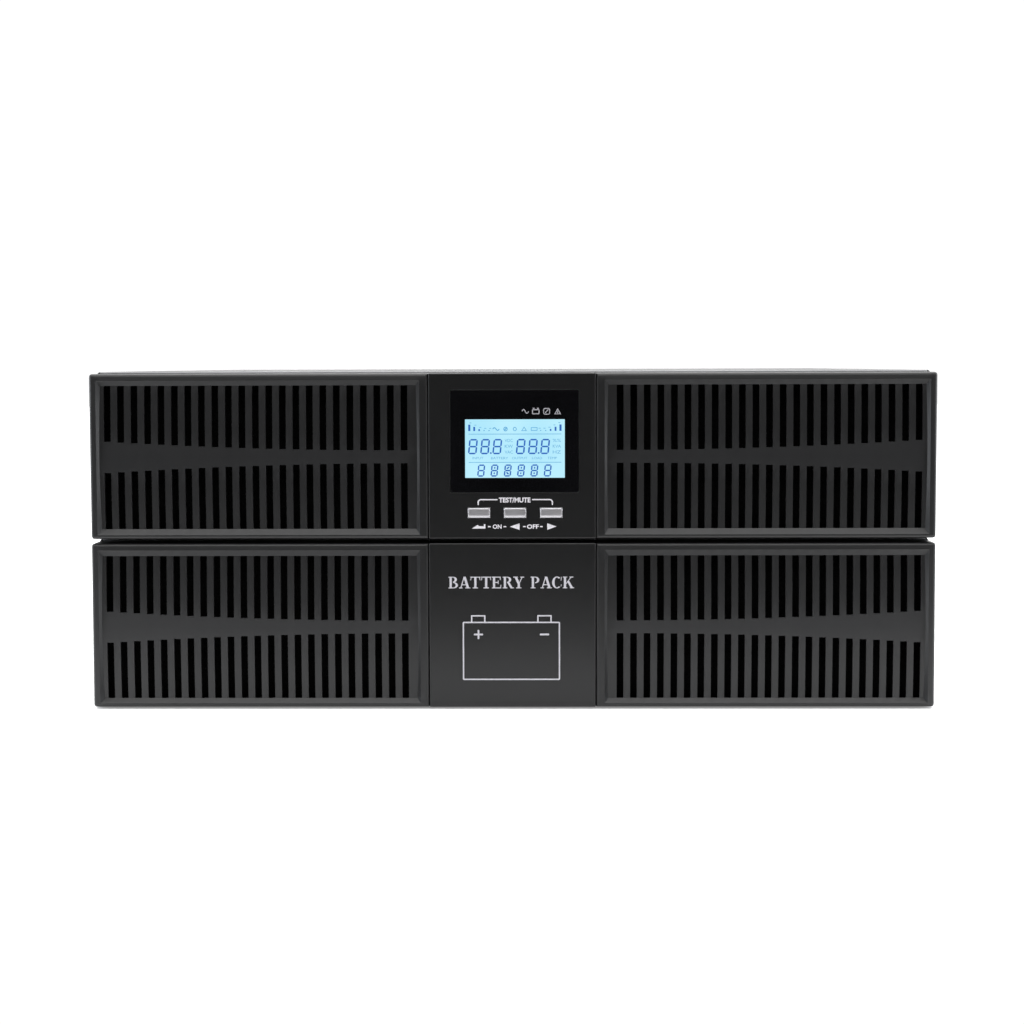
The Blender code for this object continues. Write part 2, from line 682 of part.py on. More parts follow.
def rotor(unit, name, centre):
    """A hub with curved blades, its origin on the axis, which runs along Y."""
    hub = part(name, cylinders([(0, 0, 0)], ROTOR_HUB, ROTOR_LENGTH, "Y", 28), "fan", unit)
    hub.location = centre
    blades = bmesh.new()
    for index in range(BLADES):
        start = 2 * math.pi * index / BLADES
        verts = bmesh.ops.create_grid(blades, x_segments=2, y_segments=3, size=0.5)["verts"]
        for vert in verts:
            out = vert.co.x + 0.5
            along = vert.co.y
            radius = ROTOR_HUB - 0.0012 + (ROTOR_TIP - ROTOR_HUB + 0.0012) * out
            angle = start + along * 0.62 + 0.35 * out
            lift = along * (0.0145 - 0.003 * out) + 0.0012 * (0.25 - along * along)
            vert.co = (radius * math.cos(angle), lift, radius * math.sin(angle))
    bmesh.ops.solidify(blades, geom=blades.faces[:], thickness=0.0013)
    join(hub, blades)


def guard(unit, name, x):
    """A wire finger guard: rings on four arms that end in screw eyes."""
    y = REAR_FACE + GAP + 0.0032
    rings = bmesh.new()
    for radius in GUARD_RINGS:
        add_torus(rings, (x, y, MID_HEIGHT), radius, GUARD_WIRE, 20, 4, "Y")
    wires = part(name, rings, "wire", unit)
    reach = FAN_HOLE_PITCH / math.sqrt(2)
    arms = bmesh.new()
    eyes = bmesh.new()
    for index in range(4):
        angle = math.radians(45 + 90 * index)
        half = GUARD_WIRE * 0.8
        low = (GUARD_RINGS[0] - GUARD_WIRE, y - 0.0020 - half, -half)
        verts = add_box(arms, low, (reach, y - 0.0004 + half, half))
        bmesh.ops.rotate(arms, cent=(0, 0, 0), matrix=Matrix.Rotation(angle, 3, "Y"), verts=verts)
        bmesh.ops.translate(arms, vec=(x, 0, MID_HEIGHT), verts=verts)
        eye = (x + reach * math.cos(angle), y - 0.0024, MID_HEIGHT + reach * math.sin(angle))
        add_cylinder(eyes, eye, 0.0036, 0.0011, "Y", 10)
    join(wires, arms)
    join(wires, eyes)


# Rear sockets


def socket_block(unit, name, centre, face, body, kind="socket", proud=FLANGE):
    """A panel socket's block: a flange outside the rear panel and a body through its cut-out."""
    x, z = centre
    outside = REAR_FACE + GAP
    flange = centred((x, outside + proud / 2, z), (face[0], proud, face[1]))
    block = part(name, boxes(flange), kind, unit)
    body_low = (x - body[0] / 2, REAR_FACE - SOCKET_BODY_DEPTH, z - body[1] / 2)
    body_high = (x + body[0] / 2, outside + proud / 2, z + body[1] / 2)
    join(block, boxes((body_low, body_high)))
    return block


def outlet_strip(unit, name, z):
    """Four outlets in a row: a pocket each, with a raised island that has three contact slots."""
    width = OUTLET_PITCH * OUTLETS_PER_STRIP
    block = socket_block(unit, name, (OUTLETS_X, z), (width + 0.006, 0.030), (width, 0.026))
    mouth = REAR_FACE + GAP + FLANGE
    floor = mouth - SOCKET_DEPTH
    pockets = bmesh.new()
    islands = []
    slots = []
    for index in range(OUTLETS_PER_STRIP):
        x = OUTLETS_X + (index - (OUTLETS_PER_STRIP - 1) / 2) * OUTLET_PITCH
        add_prism(pockets, cut_corner_outline((x, z), OUTLET_SIZE, CORNER_CUT), floor, mouth + 0.01)
        half_x, half_z = OUTLET_ISLAND[0] / 2, OUTLET_ISLAND[1] / 2
        island_end = mouth - 0.0008
        islands.append(((x - half_x, floor - 0.001, z - half_z), (x + half_x, island_end, z + half_z)))
        for slot_x, slot_z in CONTACT_SLOTS:
            slots.append(centred((x + slot_x, mouth, z + slot_z), (0.0024, 0.024, 0.0048)))
    cut(block, pockets)
    join(block, boxes(*islands))
    cut(block, boxes(*slots))


def ac_inlet(unit):
    block = socket_block(unit, "ac_inlet", (INLET_X, INLET_Z), (0.034, 0.027), (0.029, 0.022))
    mouth = REAR_FACE + GAP + FLANGE
    floor = mouth - SOCKET_DEPTH
    pocket = bmesh.new()
    outline = cut_corner_outline((INLET_X, INLET_Z), INLET_SIZE, CORNER_CUT)
    add_prism(pocket, outline, floor, mouth + 0.01)
    cut(block, pocket)
    pins = [
        centred((INLET_X + x, floor + 0.006, INLET_Z + z), (0.002, 0.014, 0.004))
        for x, z in INLET_PINS
    ]
    join(block, boxes(*pins))


def input_breaker(unit):
    """A push-to-reset breaker: body inside, threaded neck and nut outside, and its button."""
    z = BREAKER_Z
    inside = REAR_FACE - SHEET - GAP
    body_box = centred((INLET_X, inside - 0.015, z), (0.016, 0.030, 0.016))
    body = part("input_breaker", boxes(body_box), "socket", unit)
    join(body, cylinders([(INLET_X, inside + 0.003, z)], 0.0060, 0.0080, "Y", 24))
    join(body, cylinders([(INLET_X, REAR_FACE + GAP + 0.0015, z)], 0.0088, 0.0030, "Y", 6))
    cut(body, cylinders([(INLET_X, inside, z)], 0.0037, 0.040, "Y", 20))
    plunger = cylinders([(0, 0, 0)], 0.0034, 0.0240, "Y", 20)
    button = part("breaker_reset_button", plunger, "breaker", unit)
    button.location = (INLET_X, REAR_FACE + 0.0065 - 0.012, z)


def battery_connector(unit, name, centre, proud):
    """A two-pole battery socket: two cavities, each with a flat contact near its floor."""
    x, z = centre
    face = (CONNECTOR_WIDTH + 0.010, CONNECTOR_HEIGHT + 0.006)
    body = (CONNECTOR_WIDTH, CONNECTOR_HEIGHT)
    block = socket_block(unit, name, centre, face, body, "connector")
    outside = REAR_FACE + GAP + 0.001
    mouth = REAR_FACE + proud
    nose = ((x - body[0] / 2, outside, z - body[1] / 2), (x + body[0] / 2, mouth, z + body[1] / 2))
    join(block, boxes(nose))
    cavity_x = CONNECTOR_CAVITY[0] / 2 + 0.0015
    floor = mouth - CONNECTOR_DEPTH
    cavity = (CONNECTOR_CAVITY[0], 2 * CONNECTOR_DEPTH, CONNECTOR_CAVITY[1])
    cut(block, boxes(*(centred((x + side * cavity_x, mouth, z), cavity) for side in (-1, 1))))
    blade_z = z - CONNECTOR_CAVITY[1] / 2 + 0.0028
    blades = [
        centred((x + side * cavity_x, floor + 0.0065, blade_z), (0.0100, 0.0150, 0.0016))
        for side in (-1, 1)
    ]
    join(block, boxes(*blades))


def comms_ports(unit):
    """Serial port shell, network port and printer-style USB port in one plate."""
    z = COMMS_PORTS_Z
    block = socket_block(unit, "comms_ports", (COMMS_X, z), (0.078, 0.024), (0.072, 0.018))
    mouth = REAR_FACE + GAP + FLANGE
    network = centred((COMMS_X - 0.026, mouth, z), (0.0118, 0.026, 0.0084))
    usb = centred((COMMS_X - 0.006, mouth, z), (0.0086, 0.018, 0.0080))
    cut(block, boxes(network, usb))
    tongue = centred((COMMS_X - 0.006, mouth - 0.0055, z), (0.0056, 0.009, 0.0032))
    join(block, boxes(tongue))
    serial = cut_corner_outline((COMMS_X + 0.020, z), (0.0170, 0.0086), 0.0020)
    shell = bmesh.new()
    add_prism(shell, serial, mouth - 0.001, mouth + 0.0045)
    join(block, shell)


def comms_slot_cover(unit):
    centre = (COMMS_X, COMMS_COVER_Z)
    socket_block(unit, "comms_slot_cover", centre, (0.078, 0.040), (0.064, 0.032), "sheet", SHEET)


def ups_rear(unit):
    panel = rear_panel(unit, "ups_rear_panel")
    width = OUTLET_PITCH * OUTLETS_PER_STRIP
    holes = [panel_hole((OUTLETS_X, z), (width, 0.026)) for z in OUTLETS_Z]
    holes.append(panel_hole((INLET_X, INLET_Z), (0.029, 0.022)))
    holes.append(panel_hole((INLET_X, CONNECTOR_Z), (CONNECTOR_WIDTH, CONNECTOR_HEIGHT)))
    holes.append(panel_hole((COMMS_X, COMMS_PORTS_Z), (0.072, 0.018)))
    holes.append(panel_hole((COMMS_X, COMMS_COVER_Z), (0.064, 0.032)))
    cut(panel, boxes(*holes))
    cut(panel, cylinders([(x, REAR_FACE, MID_HEIGHT) for x in FAN_X], FAN_BORE, 0.01, "Y", 40))
    cut(panel, cylinders([(INLET_X, REAR_FACE, BREAKER_Z)], 0.0064, 0.01, "Y", 24))
    for z, name in zip(OUTLETS_Z, ("upper_outlet_strip", "lower_outlet_strip")):
        outlet_strip(unit, name, z)
    ac_inlet(unit)
    input_breaker(unit)
    battery_connector(unit, "ups_battery_connector", (INLET_X, CONNECTOR_Z), DEPTH / 2 - REAR_FACE)
    comms_slot_cover(unit)
    comms_ports(unit)
    for x, side_name in zip(FAN_X, ("outer", "inner")):
        fan(unit, side_name, x)


# Rear of the battery pack


def dc_breaker(unit):
    """A moulded-case breaker lying on its side, with a lever that swings left and right."""
    x = DC_BREAKER_X
    z = MID_HEIGHT
    inside = REAR_FACE - SHEET - GAP
    width, depth, height = DC_BREAKER_BODY
    body_box = centred((x, inside - depth / 2, z), (width, depth, height))
    body = part("dc_breaker", boxes(body_box), "breaker", unit)
    face_end = REAR_FACE + DC_BREAKER_PROUD
    half_x, half_z = DC_BREAKER_FACE[0] / 2, DC_BREAKER_FACE[1] / 2
    join(body, boxes(((x - half_x, inside - 0.002, z - half_z), (x + half_x, face_end, z + half_z))))
    well = (0.0240, 0.0300, LEVER_HEIGHT + 0.0010)
    axis_y = face_end - 0.0045
    cut(body, boxes(centred((x, face_end + 0.005, z), well)))
    hub = cylinders([(0, 0, 0)], LEVER_HUB, LEVER_HEIGHT, "Z", 24)
    lever = part("dc_breaker_lever", hub, "lever", unit)
    lever.location = (x, axis_y, z)
    arm = boxes(centred((0, LEVER_LENGTH / 2, 0), (0.0044, LEVER_LENGTH, LEVER_HEIGHT - 0.002)))
    turn = Matrix.Rotation(LEVER_REST, 3, "Z")
    bmesh.ops.rotate(arm, cent=(0, 0, 0), matrix=turn, verts=arm.verts)
    join(lever, arm)


def fuse_block(unit):
    """A base with two posts that hold a cylindrical fuse."""
    centre = Vector((-0.100, 0.150, SHEET + GAP))
    base = centred(centre + Vector((0, 0, 0.004)), (0.090, 0.030, 0.008))
    block = part("pack_fuse_block", boxes(base), "socket", unit)
    post = (0.010, 0.022, 0.020)
    posts = [centred(centre + Vector((side * 0.034, 0, 0.016)), post) for side in (-1, 1)]
    join(block, boxes(*posts))
    join(block, cylinders([centre + Vector((0, 0, 0.017))], 0.0080, 0.066, "X", 20))


def pack_rear(unit):
    panel = rear_panel(unit, "pack_rear_panel")
    holes = [
        panel_hole((x, MID_HEIGHT), (CONNECTOR_WIDTH, CONNECTOR_HEIGHT)) for x in PACK_CONNECTORS_X
    ]
    holes.append(panel_hole((DC_BREAKER_X, MID_HEIGHT), DC_BREAKER_FACE))
    cut(panel, boxes(*holes))
    vents = bmesh.new()
    for index in range(9):
        x = -0.030 + SIDE_VENT_PITCH * index
        outline = slot_outline((x, MID_HEIGHT), 0.0034, 0.044)
        add_prism(vents, outline, REAR_FACE - 0.005, REAR_FACE + 0.005)
    cut(panel, vents)
    for x, name in zip(PACK_CONNECTORS_X, ("pack_link_connector", "pack_output_connector")):
        battery_connector(unit, name, (x, MID_HEIGHT), DEPTH / 2 - REAR_FACE)
    dc_breaker(unit)


# The two units


def battery_pack():
    unit = empty_at("battery_pack_unit", (0, 0, 0))
    base_tray(unit, "pack_base_tray")
    top_cover(unit, "pack_top_cover", (0.135,))
    grille(unit, "pack_left_grille", -1)
    grille(unit, "pack_right_grille", 1)
    centre_panel(unit)
    battery_rows(unit, "pack_battery", 4, -0.201, PACK_BATTERY_FRONT)
    fuse_block(unit)
    pack_rear(unit)


def ups():
    unit = empty_at("ups_unit", (0, 0, UNIT_PITCH))
    tray = base_tray(unit, "ups_base_tray", rails=True)
    top_cover(unit, "ups_top_cover", (-0.190, 0.135))
    grille(unit, "ups_left_grille", -1)
    grille(unit, "ups_right_grille", 1)
    display(unit)
    battery_rows(unit, "ups_battery", 2, -0.212, UPS_BATTERY_FRONT)
    power_electronics(unit, tray)
    ups_rear(unit)


clear_scene()
PARTS = new_collection("rackmount_ups")
CUTTERS = new_collection("cutters")
battery_pack()
ups()
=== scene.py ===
"""Looks of a 2U rackmount UPS standing on its 2U battery pack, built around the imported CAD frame.

Metres, +Z up, the fronts face -Y. Places come from the CAD nodes' boxes; sizes of mouldings repeat the CAD's.
"""

import math

import bmesh
import bpy
from mathutils import Matrix, Vector


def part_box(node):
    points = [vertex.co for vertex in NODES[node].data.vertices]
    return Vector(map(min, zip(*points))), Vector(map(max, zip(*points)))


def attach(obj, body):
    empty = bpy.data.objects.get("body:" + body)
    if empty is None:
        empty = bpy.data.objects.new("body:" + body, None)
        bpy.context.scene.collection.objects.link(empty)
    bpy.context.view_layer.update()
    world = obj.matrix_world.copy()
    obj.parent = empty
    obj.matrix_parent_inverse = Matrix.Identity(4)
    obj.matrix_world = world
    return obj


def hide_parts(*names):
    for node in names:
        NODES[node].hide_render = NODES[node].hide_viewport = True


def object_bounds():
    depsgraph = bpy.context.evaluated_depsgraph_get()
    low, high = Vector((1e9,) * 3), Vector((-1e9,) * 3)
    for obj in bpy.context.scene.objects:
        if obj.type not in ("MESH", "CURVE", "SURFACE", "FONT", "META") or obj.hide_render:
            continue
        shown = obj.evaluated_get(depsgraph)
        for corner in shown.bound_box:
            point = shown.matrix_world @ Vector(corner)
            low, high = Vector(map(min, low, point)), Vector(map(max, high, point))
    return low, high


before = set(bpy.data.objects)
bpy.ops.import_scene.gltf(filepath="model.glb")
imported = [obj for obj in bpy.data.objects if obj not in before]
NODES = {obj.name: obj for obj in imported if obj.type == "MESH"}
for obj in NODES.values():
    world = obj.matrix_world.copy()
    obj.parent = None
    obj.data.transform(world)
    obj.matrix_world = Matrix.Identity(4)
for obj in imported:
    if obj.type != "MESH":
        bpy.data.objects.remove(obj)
CAD_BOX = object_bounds()

# Nodes that come in sets
UNITS = ("ups", "pack")
FANS = ("outer", "inner")
OUTLET_STRIPS = ("upper_outlet_strip", "lower_outlet_strip")
CONNECTORS = ("ups_battery_connector", "pack_link_connector", "pack_output_connector")
BUTTONS = {"enter_button": "enter_key", "back_button": "back_key", "forward_button": "forward_key"}

# The units
FACE_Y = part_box("ups_left_grille")[0].y
BEZEL_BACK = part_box("ups_left_grille")[1].y
REAR_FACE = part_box("ups_rear_panel")[1].y
FACE_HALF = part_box("ups_right_grille")[1].x
PANEL_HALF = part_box("pack_centre_panel")[1].x
SEAM_CLOSING = 0.00026  # each side of a seam
GRILLE_WIDTH = FACE_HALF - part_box("ups_right_grille")[0].x + SEAM_CLOSING
FLOOR_Z = CAD_BOX[0][2]
BACK = (0, 1, 0)

# Grille mouldings
BEZEL_WALL = 0.0020
BORDER_TOP = 0.0035
BORDER_BOTTOM = 0.0021
BORDER_OUTER = 0.0035
BORDER_INNER = 0.0045
BORDER_FALL = 0.0005  # how far the frame around a recess leans back at its rim
BORDER_FALL_OUTER = 0.0004
RECESS_LIMITS = {"ups": (0.0051, 0.0062), "pack": (0.0045, 0.0067)}  # below and above the floor
BAND_DROP = {"ups": 0.00035, "pack": 0.0010}  # of the band below mid-height
BEVEL_SIDE = 0.0019
RECESS_DEPTH = 0.0026
RECESS_DEPTH_MIDDLE = 0.0014
SLOT_COUNT = 23
SLOT_PITCH = 0.0070
SLOT_WIDTH = 0.0035
SLOT_MARGIN = 0.0091
BAND_HALF_OUTER = 0.0081
BAND_HALF_INNER = 0.0033
SLOT_ROWS = 8
CORNER_ROUNDING = 0.0016
RIM_ROUNDING = 0.0015
PANEL_RIM_ROUNDING = 0.0007
EDGE_ROUNDING = 0.00022
SEAM_WEIGHT = 0.35  # the share of an outer corner's rounding that a corner at a seam gets

# Display
LCD_X = 0.0015
LCD_SIZE = (0.0515, 0.0302)
LCD_ABOVE = 0.0467  # above the bezel's bottom edge
LCD_CORNER = 0.0002
LCD_SLANT = 0.10
CAP_ROUNDING = 0.0013
CAP_RISE = 0.00050
CAP_LEAN = 0.00035
FLANGE_REACH = 0.0008  # of a button's flange beyond its cap
INK_THICKNESS = 0.00005
OVERPRINT = 0.000003  # between strokes that cross

# Rear
SOCKET_FACE = REAR_FACE + 0.0025  # the front of every socket's flange
EYE_INSET = 0.0036  # from the edge of a fan's guard to the middle of its screw eyes
HUB_RADIUS = 0.0175
BLADE_TIP = 0.0366
CONNECTOR_DEPTH = 0.0200
CONNECTOR_HALF_X = 0.0180
CONNECTOR_HALF_Z = 0.0090
CAVITY_X = 0.00875  # from the middle of a connector to the middle of each cavity

SHARPEST_MITRE = 0.35


def unit_low(unit):
    """The height of a unit's bezels above the floor."""
    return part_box(f"{unit}_left_grille")[0].z


UNIT_PITCH = unit_low("ups") - unit_low("pack")
LCD_CENTRE = (LCD_X, unit_low("ups") + LCD_ABOVE)
LCD_FRONT = FACE_Y + 0.0004


# Meshes and pieces


def new_object(name, data):
    """An object in the scene for a mesh, text, light or camera."""
    obj = bpy.data.objects.new(name, data)
    bpy.context.scene.collection.objects.link(obj)
    return obj


def new_mesh(name, bm):
    mesh = bpy.data.meshes.new(name)
    bm.to_mesh(mesh)
    bm.free()
    return mesh


def baked_mesh(obj):
    """The mesh that an object has with its modifiers, or that a text has."""
    bpy.context.view_layer.update()
    return bpy.data.meshes.new_from_object(obj.evaluated_get(bpy.context.evaluated_depsgraph_get()))


def discard(obj):
    data = obj.data
    store = bpy.data.curves if isinstance(data, bpy.types.Curve) else bpy.data.meshes
    bpy.data.objects.remove(obj)
    store.remove(data)


def piece(name, bm, material, body, replaced=()):
    """A finished mesh as an object that rides on a CAD body and may stand for some of its nodes."""
    mesh = new_mesh(name, bm)
    mesh.materials.append(material)
    mesh.shade_smooth()
    obj = new_object(name, mesh)
    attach(obj, body)
    if replaced:
        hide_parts(*replaced)
    return obj


def fitting(name, bm, material):
    """A small metal piece of the chassis."""
    return piece(name, bm, material, "root")


def soften(obj, width, segments=2, angle=28, harden=True):
    """Rounded edges with flat faces left flat."""
    bevel = obj.modifiers.new("rounded edges", "BEVEL")
    bevel.width = width
    bevel.segments = segments
    bevel.limit_method = "ANGLE"
    bevel.angle_limit = math.radians(angle)
    bevel.harden_normals = harden
    return obj


def shade_flat_faces(obj):
    normals = obj.modifiers.new("flat shading", "WEIGHTED_NORMAL")
    normals.weight = 100
    normals.keep_sharp = False


def bevel_marked(obj, width, segments):
    """Rounds the edges that carry a bevel weight."""
    corners = obj.modifiers.new("rim and corners", "BEVEL")
    corners.width = width
    corners.segments = segments
    corners.limit_method = "WEIGHT"


def thicken(obj, name, thickness, offset=0):
    wall = obj.modifiers.new(name, "SOLIDIFY")
    wall.thickness = thickness
    wall.offset = offset
    return wall


def outward(bm):
    bmesh.ops.recalc_face_normals(bm, faces=bm.faces)


def bridge(bm, loops):
    """Faces between neighbouring loops of points, where a loop of one point is a tip."""
    for near, far in zip(loops, loops[1:]):
        count = max(len(near), len(far))
        for index in range(count):
            after = (index + 1) % count
            corners = (
                near[index % len(near)], near[after % len(near)],
                far[after % len(far)], far[index % len(far)],
            )
            bm.faces.new(list(dict.fromkeys(corners)))


def add_grid(bm, verts, is_open=lambda i, j: False):
    """Quads between the points of a grid, apart from its open cells."""
    for i in range(len(verts) - 1):
        for j in range(len(verts[i]) - 1):
            if not is_open(i, j):
                bm.faces.new((verts[i][j], verts[i + 1][j], verts[i + 1][j + 1], verts[i][j + 1]))


def add_box(bm, low, high):
    low = Vector(low)
    high = Vector(high)
    verts = bmesh.ops.create_cube(bm, size=1.0)["verts"]
    bmesh.ops.scale(bm, vec=high - low, verts=verts)
    bmesh.ops.translate(bm, vec=(high + low) / 2, verts=verts)
    return verts


def add_prism(bm, outline, front, back):
    """A closed plate on an outline of (x, z) points that runs counter-clockwise seen from the front."""
    near = [bm.verts.new((x, front, z)) for x, z in outline]
    far = [bm.verts.new((x, back, z)) for x, z in outline]
    bm.faces.new(near)
    bm.faces.new(far[::-1])
    bridge(bm, [far, near])


def add_frame(bm, outer, inner, front, back):
    """A closed ring between two outlines with the same number of points."""
    loops = [
        [bm.verts.new((x, y, z)) for x, z in outline]
        for outline, y in ((outer, front), (inner, front), (inner, back), (outer, back))
    ]
    bridge(bm, loops + loops[:1])


def turn_angles(steps):
    return [2 * math.pi * step / steps for step in range(steps)]


def quarter_angles(steps):
    return [math.pi / 2 * step / steps for step in range(steps + 1)]


def middle_of(node):
    """The x and z of the middle of a node's box."""
    low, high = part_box(node)
    return (low.x + high.x) / 2, (low.z + high.z) / 2


def rectangle(centre, size):
    x, z = centre
    half_x, half_z = size[0] / 2, size[1] / 2
    return [
        (x - half_x, z - half_z),
        (x + half_x, z - half_z),
        (x + half_x, z + half_z),
        (x - half_x, z + half_z),
    ]


def rounded_rectangle(centre, size, radius, steps=5):
    """Counter-clockwise, starting at the end of the lower left corner's arc."""
    points = []
    corners = rectangle(centre, (size[0] - 2 * radius, size[1] - 2 * radius))
    for (x, z), start in zip(corners, (180, 270, 0, 90)):
        for turn in quarter_angles(steps):
            angle = math.radians(start) + turn
            points.append((x + radius * math.cos(angle), z + radius * math.sin(angle)))
    return points


def add_rounded_frame(bm, centre, outer, inner, front, back):
    """A ring between two rounded rectangles, each given as its size and radius."""
    outlines = [rounded_rectangle(centre, size, radius) for size, radius in (outer, inner)]
    add_frame(bm, *outlines, front, back)


def ellipse(centre, radii, steps=16):
    x, z = centre
    return [(x + radii[0] * math.cos(a), z + radii[1] * math.sin(a)) for a in turn_angles(steps)]


def cut_corner_outline(centre, size, corner):
    """A rectangle whose two upper corners are cut off at 45 degrees."""
    x, z = centre
    half_x, half_z = size[0] / 2, size[1] / 2
    return [
        (x - half_x, z - half_z),
        (x + half_x, z - half_z),
        (x + half_x, z + half_z - corner),
        (x + half_x - corner, z + half_z),
        (x - half_x + corner, z + half_z),
        (x - half_x, z + half_z - corner),
    ]


def facing(point, direction):
    """A frame at a point whose Z axis looks along a direction."""
    turn = Vector(direction).to_track_quat("Z", "Y").to_matrix().to_4x4()
    return Matrix.Translation(point) @ turn


def add_turned(bm, profile, place, steps=24):
    """A surface turned about a frame's Z axis from (radius, height) points that run outside and upward."""
    loops = []
    for radius, height in profile:
        angles = turn_angles(steps) if radius else [0.0]
        loops.append([
            bm.verts.new(place @ Vector((radius * math.cos(a), radius * math.sin(a), height))) for a in angles
        ])
    bridge(bm, loops)


def add_ring(bm, place, ring, wire, steps=56, sides=8):
    """A wire bent to a full circle around a frame's Z axis."""
    section = [(ring + wire * math.cos(a), wire * math.sin(a)) for a in turn_angles(sides)]
    loops = []
    for a in turn_angles(steps):
        points = [Vector((radius * math.cos(a), radius * math.sin(a), height)) for radius, height in section]
        loops.append([bm.verts.new(place @ point) for point in points])
    bridge(bm, [loops[0], *loops[::-1]])


def add_rod(bm, start, end, radius, steps=10):
    """A round wire between two points, with domed ends."""
    start = Vector(start)
    end = Vector(end)
    length = (end - start).length
    tip = radius * 0.6
    profile = [
        (0.0, -tip), (radius * 0.75, -tip * 0.5), (radius, 0.0),
        (radius, length), (radius * 0.75, length + tip * 0.5), (0.0, length + tip),
    ]
    add_turned(bm, profile, facing(start, end - start), steps)


def add_ribbon(bm, path, width, front, back):
    """A flat line of one width along (x, z) points, with mitred joints."""
    points = [Vector(point) for point in path]
    right = []
    left = []
    for before, point, after in zip(points[:1] + points, points, points[1:] + points[-1:]):
        along_in = (point - before).normalized() if point != before else (after - point).normalized()
        along_out = (after - point).normalized() if point != after else along_in
        mitre = (along_in + along_out).normalized()
        reach = width / 2 / max(SHARPEST_MITRE, mitre.dot(along_in))
        across = Vector((mitre.y, -mitre.x)) * reach
        right.append(tuple(point + across))
        left.append(tuple(point - across))
    add_prism(bm, right + left[::-1], front, back)


# Materials


def make_finish(name, colour, roughness, metallic=0.0):
    material = bpy.data.materials.new(name)
    material.use_nodes = True
    shader = material.node_tree.nodes["Principled BSDF"]
    shader.inputs["Base Color"].default_value = (*colour, 1.0)
    shader.inputs["Roughness"].default_value = roughness
    shader.inputs["Metallic"].default_value = metallic
    return material, material.node_tree, shader


def noise(tree, scale, detail=3.0, stretch=(1, 1, 1)):
    place = tree.nodes.new("ShaderNodeTexCoord")
    mapping = tree.nodes.new("ShaderNodeMapping")
    mapping.inputs["Scale"].default_value = stretch
    texture = tree.nodes.new("ShaderNodeTexNoise")
    texture.inputs["Scale"].default_value = scale
    texture.inputs["Detail"].default_value = detail
    tree.links.new(place.outputs["Object"], mapping.inputs["Vector"])
    tree.links.new(mapping.outputs["Vector"], texture.inputs["Vector"])
    return texture.outputs["Fac"]


def remap(tree, value, low, high, source=(0.3, 0.7)):
    node = tree.nodes.new("ShaderNodeMapRange")
    node.inputs["From Min"].default_value = source[0]
    node.inputs["From Max"].default_value = source[1]
    node.inputs["To Min"].default_value = low
    node.inputs["To Max"].default_value = high
    tree.links.new(value, node.inputs["Value"])
    return node.outputs["Result"]


def mix_colour(tree, factor, first, second):
    node = tree.nodes.new("ShaderNodeMix")
    node.data_type = "RGBA"
    colours = [socket for socket in node.inputs if socket.type == "RGBA"]
    for socket, value in zip(colours, (first, second)):
        if isinstance(value, bpy.types.NodeSocket):
            tree.links.new(value, socket)
        else:
            socket.default_value = (*value, 1.0)
    tree.links.new(factor, node.inputs[0])
    return next(socket for socket in node.outputs if socket.type == "RGBA")


def add_bump(tree, shader, height, distance, strength=1.0):
    bump = tree.nodes.new("ShaderNodeBump")
    bump.inputs["Distance"].default_value = distance
    bump.inputs["Strength"].default_value = strength
    tree.links.new(height, bump.inputs["Height"])
    normal = shader.inputs["Normal"]
    if normal.is_linked:
        tree.links.new(normal.links[0].from_socket, bump.inputs["Normal"])
    tree.links.new(bump.outputs["Normal"], normal)


def tinted(tree, shader, colour, amount, scale, stretch=(1, 1, 1)):
    """The base colour wandering a little lighter and darker."""
    darker = [c * (1 - amount) for c in colour]
    lighter = [min(1.0, c * (1 + amount)) for c in colour]
    factor = remap(tree, noise(tree, scale, 4.0, stretch), 0.0, 1.0)
    result = mix_colour(tree, factor, darker, lighter)
    tree.links.new(result, shader.inputs["Base Color"])
    return result


def edge_wear_and_highlight(tree, shader, base, wear_and_highlight_tone, amount):
    """A lighter tone where the surface turns sharply outward: partly edge wear, partly a painted highlight
    along edges.
    """
    geometry = tree.nodes.new("ShaderNodeNewGeometry")
    edge = remap(tree, geometry.outputs["Pointiness"], 0.0, amount, (0.53, 0.62))
    tree.links.new(mix_colour(tree, edge, base, wear_and_highlight_tone), shader.inputs["Base Color"])


def vary_roughness(tree, shader, scale, low, high):
    tree.links.new(remap(tree, noise(tree, scale), low, high), shader.inputs["Roughness"])


def light_up(tree, shader, scale, detail, low, high):
    """Emission that wanders between two colours."""
    glow = mix_colour(tree, remap(tree, noise(tree, scale, detail), 0.0, 1.0), low, high)
    tree.links.new(glow, shader.inputs["Emission Color"])
    shader.inputs["Emission Strength"].default_value = 1.0


def moulded(name, colour, roughness, grain=0.00003, grain_scale=2200, tint=0.10, wear_and_highlight_tone=None, haze=0.05):
    """Injection-moulded plastic: fine spark-eroded grain and faint cloudiness."""
    material, tree, shader = make_finish(name, colour, roughness)
    base = tinted(tree, shader, colour, tint, 35)
    # A lighter tone at sharp edges: painted highlight, partly edge wear.
    if wear_and_highlight_tone:
        edge_wear_and_highlight(tree, shader, base, wear_and_highlight_tone, 0.55)
    vary_roughness(tree, shader, 160, roughness - haze, roughness + haze)
    add_bump(tree, shader, noise(tree, grain_scale, 2.0), grain)
    return material


def powder_coat(name, colour, roughness=0.46, wear_and_highlight_tone=(0.05, 0.05, 0.052)):
    """Black powder coat on steel sheet: orange peel, fine sparkle and lighter edges, partly rubbed wear and
    partly painted highlight.
    """
    material, tree, shader = make_finish(name, colour, roughness)
    shader.inputs["Specular IOR Level"].default_value = 0.30
    base = tinted(tree, shader, colour, 0.10, 45)
    edge_wear_and_highlight(tree, shader, base, wear_and_highlight_tone, 0.5)
    vary_roughness(tree, shader, 220, roughness - 0.03, roughness + 0.03)
    add_bump(tree, shader, noise(tree, 700, 2.0), 0.00006)
    add_bump(tree, shader, noise(tree, 2600, 1.0), 0.00003)
    return material


